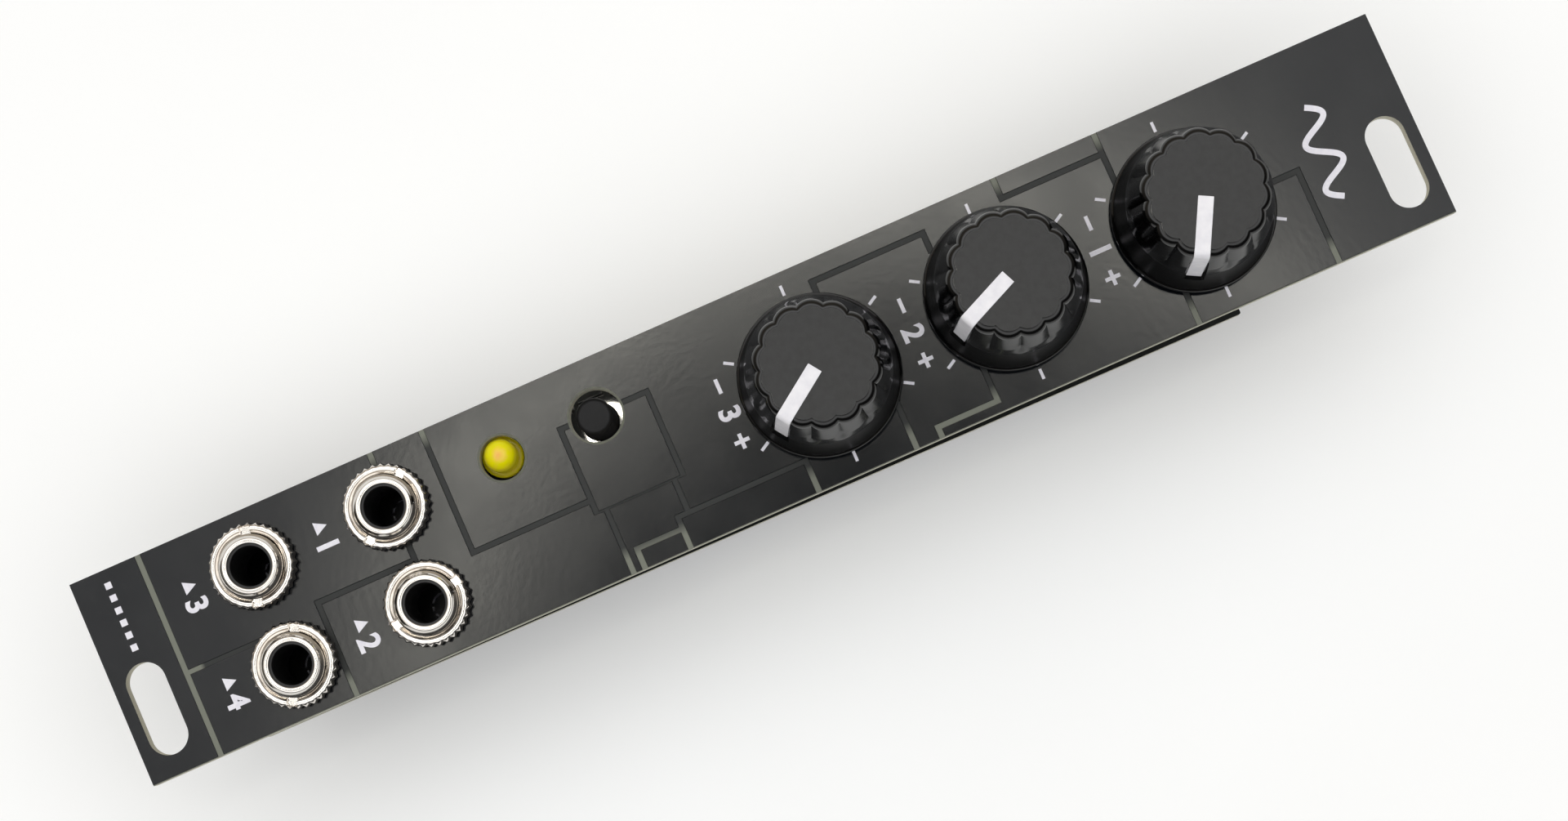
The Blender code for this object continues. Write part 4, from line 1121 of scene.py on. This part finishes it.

# %% [markdown]
# ## Boards
#
# Both boards behind the panel are flat plates with milled edges. Their faces carry solder mask, their edges
# show the glass cloth. Copper tracks under the mask stand about 0.04 mm proud: each is a band along a path
# that turns by 45 degrees, as a layout program draws them. A printed white ring marks the place of each
# socket, and seen down the socket's bore it is also a painted glint that stands in for the faint glints of
# the socket's metal inside.

# %% Main board and its tracks
BOARD_W, BOARD_LOW, BOARD_H, BOARD_TURN = 19.1, 8.95, 99.75, -0.29
BOARD_MIDDLE = (9.98, BOARD_LOW + BOARD_H / 2)
TRACK_W, TRACK_PROUD = 0.3, 0.04
board = prism(rounded(BOARD_W, BOARD_H, 0.2), BOARD_BACK, BOARD_FACE, 0, 1)
piece("main_board_plate", moved(board, *BOARD_MIDDLE, turn=BOARD_TURN),
      [board_mask, cut_board], stands_for=["main_board"])
tracks = []
for side, z in ((-1, BOARD_BACK), (1, BOARD_FACE)):
    low, high = sorted((z - side * 0.01, z + side * TRACK_PROUD))
    for i in range(7):
        x = 1.4 + 0.7 * i
        bend_y = 38.0 + 1.1 * i * side
        path = [(x, 11 + 0.6 * i), (x, bend_y), (x + 2.4, bend_y + 2.4), (x + 2.4, 49 + 0.5 * i)]
        mirrored = [(PANEL_W - px, py + 0.8) for px, py in path]
        tracks += [stroke(path, TRACK_W, low, high), stroke(mirrored, TRACK_W, low, high)]
    for i in range(4):
        y = 96.0 + 1.3 * i
        path = [(3 + i, y), (8 + i, y), (10.5 + i, y + 2.5), (16, y + 2.5)]
        tracks.append(stroke(path, TRACK_W, low, high))
piece("main_board_tracks", joined(*tracks), [board_mask])
# The white ring under each socket is print, and a painted glint seen down the bore
print_low, print_high = BOARD_FACE - 0.02, BOARD_FACE + 0.03
outline = spun(ring([(1.12, print_low), (1.3, print_low), (1.3, print_high), (1.12, print_high)]), 48)
rings = repeated(outline, [(*at, 0) for at in SOCKETS.values()])
piece("main_board_print_and_painted_glints", rings, [ink])
print("tracks:", len(tracks))

# %% [markdown]
# Every part's pins come through the main board and end in a cone of solder. One small cone, with a
# hollow side where the solder climbed the pin, is repeated at all of these places on the back that
# no part covers, and at the strips and the power connector on the front too.

# %% Solder joints and pins
CONE = [(0, 1.0), (0.2, 0.98), (0.3, 0.72), (0.42, 0.34), (0.75, 0.06), (0.85, 0.0)]
joint = spun([*CONE, (0.85, -0.05), (0, -0.05)], 14)
under = (joint[0] * (1, 1, -1), [(c[:, ::-1], f) for c, f in joint[1]])
PIN_PITCH, STRIP_PINS = 2.54, 15
MICRO_Y, HEADER_Y = 72.0, 27.5
STRIP_X = np.array([-15.24 / 2, 15.24 / 2]) + PANEL_W / 2
STRIP_Y = MICRO_Y + (np.arange(STRIP_PINS) - STRIP_PINS // 2) * PIN_PITCH
POWER_X, POWER_Y = np.array([-1.27, 1.27]), (np.arange(5) - 2) * PIN_PITCH


def grid_of(xs, ys, z):
    """Every x with every y at one height."""
    x, y = np.meshgrid(xs, ys)
    return np.column_stack([x.ravel(), y.ravel(), np.full(x.size, z)])


def within(points, middles, half):
    """Which points lie less than half a width and half a height from any of the middles."""
    away = np.abs(points[:, None, :2] - np.asarray(middles))
    return (away < half).all(axis=2).any(axis=1)


back = [grid_of(np.array([x]), y + np.array([-3.3, 1.5, 4.0]), BOARD_BACK) for x, y in SOCKETS.values()]
back += [grid_of(x + np.array([-2.5, 0, 2.5]), np.array([y - 5.3]), BOARD_BACK) for x, y in KNOBS.values()]
back += [grid_of(BUTTON_AT[0] + np.array([-2.9, 2.9]), BUTTON_AT[1] + np.array([-2.2, 2.2]), BOARD_BACK)]
back += [grid_of(LIGHT_AT[0] + np.array([-1.27, 1.27]), np.array([LIGHT_AT[1]]), BOARD_BACK)]
back = np.concatenate(back)
under_parts = within(back, [(x, MICRO_Y) for x in STRIP_X], (1.9, 20))
under_parts |= within(back, [(PANEL_W / 2, HEADER_Y)], (5.3, 11.0))
to_capacitors = np.hypot(back[:, 0, None] - CAPACITOR_XS, back[:, 1, None] - CAPACITOR_Y)
back = back[~under_parts & (to_capacitors.min(axis=1) >= 3.4)]
front_joints = np.vstack([grid_of(STRIP_X, STRIP_Y, BOARD_FACE),
                          grid_of(PANEL_W / 2 + POWER_X, HEADER_Y + POWER_Y, BOARD_FACE)])
hidden = within(front_joints, [(x, y + 0.5) for x, y in SOCKETS.values()], (5.4, 6.1))
hidden |= within(front_joints, [(x, y - 0.7) for x, y in KNOBS.values()], (5.9, 6.5))
joints = joined(repeated(under, back), repeated(joint, front_joints[~hidden]))
piece("main_board_joints", joints, [solder])
print("solder joints:", len(back) + int((~hidden).sum()))

# %% [markdown]
# Small chip parts sit in rows on the boards: a ceramic block with a black glaze on top and tinned
# ends. They are boxes laid out with arrays, three to a part. A small eight-legged amplifier chip
# stands on the main board next to the power connector.

# %% Small parts on the main board


def chip_parts(middles, base, side, size=(2.0, 1.25, 0.5)):
    """Bodies, glazes and ends of many chip parts that lie along x on a face; side is 1 or -1."""
    middles = np.asarray(middles, float)
    length, width, height = size
    at = np.column_stack([middles, np.full(len(middles), base + side * height / 2)])
    body = blocks_at(at, (length - 0.5, width, height), 0)
    glaze = blocks_at(at + (0, 0, side * height / 2), (length - 0.7, width - 0.08, 0.06), 1)
    end_size, pad_size = (0.42, width + 0.02, height + 0.05), (0.7, width, 0.08)
    to_pad = -side * (height / 2 - 0.03)
    ends = [blocks_at(at + (s * (length / 2 - 0.2), 0, 0), end_size, 2) for s in (-1, 1)]
    pads = [blocks_at(at + (s * (length / 2 + 0.1), 0, to_pad), pad_size, 2) for s in (-1, 1)]
    return joined(body, glaze, *ends, *pads)


BACK_PARTS = [(3.0, 12.0), (3.0, 14.2), (3.0, 33.0), (16.8, 12.0), (16.8, 14.2), (16.8, 33.0), (16.8, 35.2),
              (9.9, 12.0), (9.9, 47.2), (9.9, 41.0), (9.9, 43.2), (5.0, 97.0), (14.8, 97.0), (9.9, 100.0)]
FRONT_PARTS = [(16.4, 44.0), (16.4, 46.4), (16.4, 48.8), (11.8, 40.5), (11.8, 43.0), (11.8, 56.5),
               (5.2, 58.5)]
small = joined(chip_parts(BACK_PARTS, BOARD_BACK, -1), chip_parts(FRONT_PARTS, BOARD_FACE, 1))
piece("main_board_chip_parts", small, [ceramic, chip_black, solder], edge=0.03)


def legs(count, pitch, reach, base, side):
    """Bent legs in a row along y: flat at the body, down, and flat on the board."""
    z = base + side * np.array([0.75, 0.75, 0.08, 0.08])
    x = reach + np.array([-0.5, 0.1, 0.35, 0.9])
    leg = wire(np.column_stack([x, 0 * x, z]), rounded(0.4, 0.15, 0.03, 1), across=(0, 1, 0))
    places = np.column_stack([np.zeros(count), (np.arange(count) - (count - 1) / 2) * pitch, np.zeros(count)])
    return joined(repeated(leg, places), repeated(leg, -places, 180.0))


amp_body = blocks((-1.95, -2.45, BOARD_BACK - 1.5), (1.95, 2.45, BOARD_BACK - 0.15))
amplifier = joined(amp_body, painted(legs(4, 1.27, 1.95, BOARD_BACK, -1), 1))
piece("main_board_amplifier", moved(amplifier, 9.9, 103.5), [epoxy, solder], edge=0.04)
print("chip parts:", len(BACK_PARTS) + len(FRONT_PARTS))

# %% [markdown]
# ## Controller board
#
# A small blue controller board rides on two pin strips. A strip is a row of fifteen moulded blocks
# with a notch between neighbours, each with a square pin through it. One block and one pin are
# drawn and repeated, and a thin web joins the blocks.

# %% Strips and pins
CONTROLLER_FACE = BOARD_BACK - 0.3 - 2.54 - 0.3
CONTROLLER_BACK = CONTROLLER_FACE - 1.6


def strip_shape(x):
    """Fifteen outlines with cut corners, one after the other along y."""
    cell = np.array([(-1.25, -0.9), (-0.9, -1.24), (0.9, -1.24), (1.25, -0.9), (1.25, 0.9), (0.9, 1.24),
                     (-0.9, 1.24), (-1.25, 0.9)])
    block = prism(cell, CONTROLLER_FACE + 0.3, BOARD_BACK - 0.3)
    web_low, web_high = CONTROLLER_FACE + 0.5, BOARD_BACK - 0.5
    web = blocks((x - 1.05, STRIP_Y[0] - 0.6, web_low), (x + 1.05, STRIP_Y[-1] + 0.6, web_high))
    return joined(repeated(block, [(x, y, 0) for y in STRIP_Y]), web)


for x, side in zip(STRIP_X, ("left", "right")):
    piece(f"strip_{side}", strip_shape(x), [header_plastic],
          stands_for=[f"header_strip_{side}"])
PIN_HALF = 0.32
pin = blocks((-PIN_HALF, -PIN_HALF, CONTROLLER_BACK - 0.9), (PIN_HALF, PIN_HALF, BOARD_FACE + 0.7))
pins = repeated(pin, grid_of(STRIP_X, STRIP_Y, 0))
piece("strip_pins", pins, [gold], edge=0.05)
print("pins:", 2 * len(STRIP_Y))

# %% [markdown]
# The pins end in solder on the controller board, where its pads are gold. Its chip stands turned
# by 45 degrees with eight bent legs on each side, and a crystal in a nickel can lies beside it.

# %% Controller board
micro = moved(prism(rounded(18.0, 43.2, 0.5), CONTROLLER_BACK, CONTROLLER_FACE, 0, 1), PANEL_W / 2, MICRO_Y)
piece("controller_plate", micro, [blue_mask, cut_board], stands_for=["controller_board"])
pad = spun(ring([(0.3, 0), (0.85, 0), (0.85, -0.05), (0.3, -0.05)]), 20)
pads = repeated(pad, grid_of(STRIP_X, STRIP_Y, CONTROLLER_BACK))
low_cone = (under[0] * (0.8, 0.8, 0.85), under[1])
cones = repeated(low_cone, grid_of(STRIP_X, STRIP_Y, CONTROLLER_BACK - 0.02))
piece("controller_joints", joined(pads, painted(cones, 1)), [gold, solder])
seat = CONTROLLER_BACK - 0.3
body = prism(rounded(7.0, 7.0, 0.3, 2), seat - 1.0, seat - 0.05)
dot = spun([(0, seat - 1.02), (0.35, seat - 1.02), (0.4, seat - 0.99), (0, seat - 0.99)], 16)
leg_rows = [moved(legs(8, 0.8, 3.5, CONTROLLER_BACK, -1), turn=t) for t in (0, 90)]
chip = joined(body, moved(dot, -2.6, -2.6), painted(joined(*leg_rows), 1))
piece("controller_processor", moved(chip, PANEL_W / 2, MICRO_Y + 3, turn=45), [epoxy, solder],
      stands_for=["controller_chip"], edge=0.04)
MICRO_PARTS = [(6.0, 54.0), (13.8, 54.0), (6.0, 62.5), (13.8, 62.5), (6.2, 66.0), (13.6, 66.0),
               (9.9, 64.5), (9.9, 83.0)]
piece("controller_chip_parts", chip_parts(MICRO_PARTS, CONTROLLER_BACK, -1, (1.6, 0.8, 0.45)),
      [ceramic, chip_black, solder], edge=0.02)
crystal = moved(prism(rounded(3.2, 1.5, 0.6), CONTROLLER_BACK - 1.0, CONTROLLER_BACK), 9.9, 68.2)
piece("controller_crystal", crystal, [nickel], edge=0.08)
print("controller board", round(CONTROLLER_FACE - CONTROLLER_BACK, 1), "mm thick")

# %% [markdown]
# The USB socket is one sheet of plated steel bent round a tongue. It is drawn as loops: an outline
# with round corners outside, back in at the mouth, to the bottom of the room and to its middle.

# %% USB socket
USB_W, USB_T, USB_L = 7.6, 3.86, 9.2
MOUTH_W, MOUTH_T, MOUTH_END = USB_W - 0.76, USB_T - 0.76, 3.0
USB_Y = MICRO_Y + 21.6 + 0.9 - USB_L


def usb_shape():
    """Loops in x and z at several y: outer outline, mouth, inner outline, the room's far end."""
    z = seat - USB_T / 2
    middle, end = rounded(0.02, 0.01, 0.004, 6), rounded(USB_W - 0.1, USB_T - 0.1, 0.75, 6)
    outer, inner = rounded(USB_W, USB_T, 0.8, 6), rounded(MOUTH_W, MOUTH_T, 0.5, 6)
    stages = [(middle, 0.0), (end, 0.0), (outer, 0.05), (outer, USB_L - 0.03), (end, USB_L),
              (inner, USB_L), (inner, MOUTH_END), (middle, MOUTH_END)]
    rows = [np.column_stack([o[:, 0], np.full(len(o), y), o[:, 1] + z]) for o, y in stages]
    return loops(rows)


tongue = blocks((-2.2, 3.0, seat - 2.3), (2.2, 8.2, seat - 1.4), 1)
contact_middles = np.column_stack([np.linspace(-1.6, 1.6, 5), np.full(5, 5.8), np.full(5, seat - 2.32)])
contacts = blocks_at(contact_middles, (0.3, 4.2, 0.06), 2)
usb = moved(joined(usb_shape(), tongue, contacts), PANEL_W / 2, USB_Y)
piece("usb_shell", usb, [nickel, nylon, gold], stands_for=["usb_socket"])
print("USB mouth", round(MOUTH_W, 2), "by", round(MOUTH_T, 2), "mm")

# %% [markdown]
# The reset button is a small switch: a nylon base under a thin steel plate, and a pale plunger
# that stands a little out of its round bore.

# %% Reset button
reset_at = (PANEL_W / 2, MICRO_Y - 14.4)
floor = seat - 1.7
base = prism(rounded(6.0, 3.6, 0.25), floor, seat)
bore = prism(circle(1.1, 40), floor - 1, seat - 0.4)
piece("reset_body", moved(base, *reset_at), [nylon], stands_for=["reset_base"], edge=0.06,
      cuts=[moved(bore, *reset_at)])
frame_plate = prism(rounded(5.6, 3.2, 0.2), floor - 0.12, floor + 0.02)
piece("reset_plate", moved(frame_plate, *reset_at), [steel], edge=0.03,
      cuts=[moved(bore, *reset_at)])
cap_profile = [(0, seat - 0.9), (0.9, seat - 0.9), (0.9, floor - 0.55), (0.84, floor - 0.66)]
cap_profile += [(0.75, floor - 0.7), (0, floor - 0.7)]
piece("reset_cap", moved(spun(cap_profile, 40), *reset_at), [ceramic], body="reset_button",
      stands_for=["reset_plunger"])
print("reset button on the controller board")

# %% [markdown]
# ## Power connector and capacitors
#
# A ribbon cable brings the power into a shrouded header: a tray with a notch in one side and ten
# square pins. The tray is a block with its room and its notch cut out, as its mould has them.

# %% Power connector
header_at = (PANEL_W / 2, HEADER_Y)
header_floor, header_rim = BOARD_BACK - 0.3, -FACE
tray = blocks((-4.4, -10.1, header_rim), (4.4, 10.1, header_floor))
room = blocks((-3.3, -9.0, header_rim - 1), (3.3, 9.0, header_floor - 2.2))
key = blocks((2.3, -2.1, header_rim - 1), (5.4, 2.1, header_floor - 2.2))
piece("power_tray", moved(tray, *header_at), [header_plastic], stands_for=["power_header"],
      edge=0.2, cuts=[moved(room, *header_at), moved(key, *header_at)])
power_pin = blocks((-PIN_HALF, -PIN_HALF, header_rim + 2.2), (PIN_HALF, PIN_HALF, header_floor - 1.9))
power_pins = grid_of(POWER_X, POWER_Y, 0)
piece("power_pins", moved(repeated(power_pin, power_pins), *header_at), [gold], edge=0.08)
print("power pins:", len(power_pins))

# %% [markdown]
# Two capacitors stand beside the connector. A capacitor is a drawn can in a shrunk sleeve, with a
# groove near its foot and a cross pressed into its end, which is a drop in height within a small
# distance of either middle line.

# %% Capacitors


def capacitor_shape():
    """Rows from the foot, over the groove and up the sleeve, then across the bare aluminium end."""
    foot, end, wide = BOARD_BACK - 0.3, BOARD_BACK - 7.3, CAPACITOR_R
    profile = [(0, foot), (2.4, foot), (wide, foot - 0.08), (wide, foot - 0.6), (2.42, foot - 0.75)]
    profile += [(2.27, foot - 0.98), (2.27, foot - 1.02), (2.42, foot - 1.25), (wide, foot - 1.4)]
    profile += [(wide, end + 0.28), (2.42, end + 0.1), (2.25, end)]
    sleeve_rows = len(profile) - 1
    profile += [(2.05, end), (2.0, end + 0.06)]
    profile += [(r, end + 0.06) for r in np.linspace(1.9, 0.0, 16)]

    def change(angle, r, z):
        """The end's height drops within 0.2 mm of either middle line: a pressed cross."""
        x, y = np.abs(r * np.cos(angle)), np.abs(r * np.sin(angle))
        near = np.clip((0.2 - np.minimum(x, y)) / 0.1, 0, 1) * np.clip((1.75 - r) / 0.2, 0, 1)
        return r, z + 0.12 * near * (z < end + 0.1)

    finishes = np.array([0] * sleeve_rows + [1] * (len(profile) - 1 - sleeve_rows))
    return spun(profile, 96, change, finishes)


for x, side, sleeve in zip(CAPACITOR_XS, ("left", "right"), sleeves):
    piece(f"capacitor_can_{side}", moved(capacitor_shape(), x, CAPACITOR_Y), [sleeve, aluminium],
          stands_for=[f"capacitor_{side}"])
print("pieces and dressed nodes:", len(made))

# %% [markdown]
# ## Light and floor
#
# The module lies on white paper. The paper keeps the module's shadow, and the camera alone sees it
# a little whiter than it is, so that the background turns white without more light.

# %% Floor
FLOOR_HALF = 1.5
WHITER = 0.09

floor_mesh = bpy.data.meshes.new("floor")
corners = FLOOR_HALF * np.array([(-1, -1, 0), (1, -1, 0), (1, 1, 0), (-1, 1, 0)])
floor_mesh.from_pydata(corners.tolist(), [], [(0, 1, 2, 3)])
floor_plane = bpy.data.objects.new("floor", floor_mesh)
bpy.context.scene.collection.objects.link(floor_plane)
paper = grained_finish("white_paper", ("#f6f7f7", "#f8f9f9"), 40.0, 0.8, bump_mm=0.0)
paper_tree = paper.node_tree
seen = add(paper_tree, "ShaderNodeLightPath").outputs["Is Camera Ray"]
whiter = add(paper_tree, "ShaderNodeMath", {0: seen, 1: WHITER}, operation="MULTIPLY").outputs["Value"]
paper_shader = paper_tree.nodes["Principled BSDF"]
paper_shader.inputs["Emission Color"].default_value = linear("#ffffff")
paper_tree.links.new(whiter, paper_shader.inputs["Emission Strength"])
floor_plane.data.materials.append(paper)
floor_plane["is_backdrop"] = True
print("floor at height 0")

# %% [markdown]
# Round it stands a light tent. All of the tent is the world's colour, worked out from the direction
# that is seen: how steep it is, and to which side it points. It is evenly bright, a little more on
# the panel's left, nearly dark straight above where the camera looks in, and towards the horizon
# it gets dark again, because the room shows there. A level surface gets about as much light as it
# takes to show its own colour.

# %% Tent
RING_MIDDLE = (0.0173, 0.0116, 0)
INSIDE_RING, OUTSIDE_RING, MORE_AHEAD = 0.05, 1.0, 0.15
MIDDLE, MORE_LEFT = 1.78, 0.2
OUT_OF_RING = {"From Min": 0.06, "From Max": 0.18}  # slopes away from the ring's middle
INTO_TENT = {"From Min": 0.966, "From Max": 0.93}  # heights on a unit sphere, as the next
INTO_ROOM = {"From Min": 0.8, "From Max": 0.58}

world = bpy.data.worlds.new("light_tent")
bpy.context.scene.world = world
world.use_nodes = True
sky = world.node_tree
background = sky.nodes["Background"]
direction = add(sky, "ShaderNodeTexCoord").outputs["Generated"]
parts = add(sky, "ShaderNodeSeparateXYZ", {"Vector": direction}).outputs
level = add(sky, "ShaderNodeVectorMath", {0: direction, 1: (1, 1, 0)}, operation="MULTIPLY").outputs["Vector"]
away = add(sky, "ShaderNodeVectorMath", {0: level}, operation="LENGTH").outputs["Value"]
to_right = add(sky, "ShaderNodeMath", {0: parts["X"], 1: away}, operation="DIVIDE").outputs["Value"]
ahead = add(sky, "ShaderNodeMath", {0: parts["Y"], 1: away}, operation="DIVIDE").outputs["Value"]
steepness = add(sky, "ShaderNodeMath", {0: 1.0, 1: parts["Z"]}, operation="DIVIDE").outputs["Value"]
slope = add(sky, "ShaderNodeVectorMath", {0: level, "Scale": steepness}, operation="SCALE").outputs["Vector"]
lean = add(sky, "ShaderNodeVectorMath", {0: slope, 1: RING_MIDDLE}, operation="DISTANCE").outputs["Value"]

ends = {"From Min": 1.0, "From Max": -1.0, "To Min": MIDDLE - MORE_LEFT, "To Max": MIDDLE + MORE_LEFT}
leftness = add(sky, "ShaderNodeMapRange", {"Value": to_right, **ends}).outputs["Result"]
ends = {"From Min": -1.0, "To Min": OUTSIDE_RING - MORE_AHEAD, "To Max": OUTSIDE_RING + MORE_AHEAD}
outside = add(sky, "ShaderNodeMapRange", {"Value": ahead, **ends}).outputs["Result"]
ends = {**OUT_OF_RING, "To Min": INSIDE_RING, "To Max": outside}
steep = add(sky, "ShaderNodeMapRange", {"Value": lean, **ends}, interpolation_type="SMOOTHSTEP")
down = add(sky, "ShaderNodeMapRange", {"Value": parts["Z"], **INTO_TENT}, interpolation_type="SMOOTHSTEP")
tent_ends = {0: down.outputs["Result"], 2: steep.outputs["Result"], 3: leftness}
tent = add(sky, "ShaderNodeMix", tent_ends, data_type="FLOAT").outputs[0]
side = add(sky, "ShaderNodeMapRange", {"Value": to_right, "From Min": 0.4, "From Max": -0.9})
room_ends = {0: side.outputs["Result"], 6: "#444342", 7: "#aaa193"}
room = add(sky, "ShaderNodeMix", room_ends, data_type="RGBA").outputs[2]
low = add(sky, "ShaderNodeMapRange", {"Value": parts["Z"], **INTO_ROOM}, interpolation_type="SMOOTHSTEP")
walls = add(sky, "ShaderNodeMix", {0: low.outputs["Result"], 6: tent, 7: room}, data_type="RGBA").outputs[2]
print("tent between", MIDDLE - MORE_LEFT, "and", MIDDLE + MORE_LEFT)

# %% [markdown]
# Lamps in an arc round the lens look down into the tent, and glossy mask shows them as a soft
# bright band. The arc lies where a direction leans away from the ring's middle, which is about a
# degree off straight up, by one slope. Its strength is the lesser of two smooth ramps, one on each
# side of that slope, times a share that falls from the panel's left to nothing on its right.

# %% Lamps round the lens
RING_AT, RING_HALF, RING_RADIANCE = 0.16, 0.0155, 19.0
LAMP_COLOUR = (1.0, 0.975, 0.87)

inner = {"Value": lean, "From Min": RING_AT - RING_HALF, "From Max": RING_AT}
outer = {"Value": lean, "From Min": RING_AT + RING_HALF, "From Max": RING_AT}
rise, fall = (add(sky, "ShaderNodeMapRange", ends, interpolation_type="SMOOTHSTEP").outputs["Result"]
              for ends in (inner, outer))
band = add(sky, "ShaderNodeMath", {0: rise, 1: fall}, operation="MINIMUM").outputs["Value"]
above = add(sky, "ShaderNodeMath", {0: parts["Z"], 1: 0.5}, operation="GREATER_THAN").outputs["Value"]
band = add(sky, "ShaderNodeMath", {0: band, 1: above}, operation="MULTIPLY").outputs["Value"]
ends = {"From Min": 0.5, "From Max": -1.0, "To Max": RING_RADIANCE}
arc = add(sky, "ShaderNodeMapRange", {"Value": to_right, **ends}).outputs["Result"]
power = add(sky, "ShaderNodeMath", {0: band, 1: arc}, operation="MULTIPLY").outputs["Value"]
lamps = add(sky, "ShaderNodeVectorMath", {0: LAMP_COLOUR, "Scale": power}, operation="SCALE").outputs[0]
both = add(sky, "ShaderNodeVectorMath", {0: walls, 1: lamps}, operation="ADD").outputs["Vector"]
sky.links.new(both, background.inputs["Color"])
background.inputs["Strength"].default_value = 1.0
bpy.context.scene.view_settings.view_transform = "Standard"
print("lamps at", round(math.degrees(math.atan(RING_AT)), 1), "degrees from the ring's middle")

# %% [markdown]
# The dressed model's box is worked out from all shown pieces but the floor, and printed in millimetres.

# %% Sizes
low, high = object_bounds()
print("dressed box in mm:", [round((b - a) * 1000, 2) for a, b in zip(low, high)])
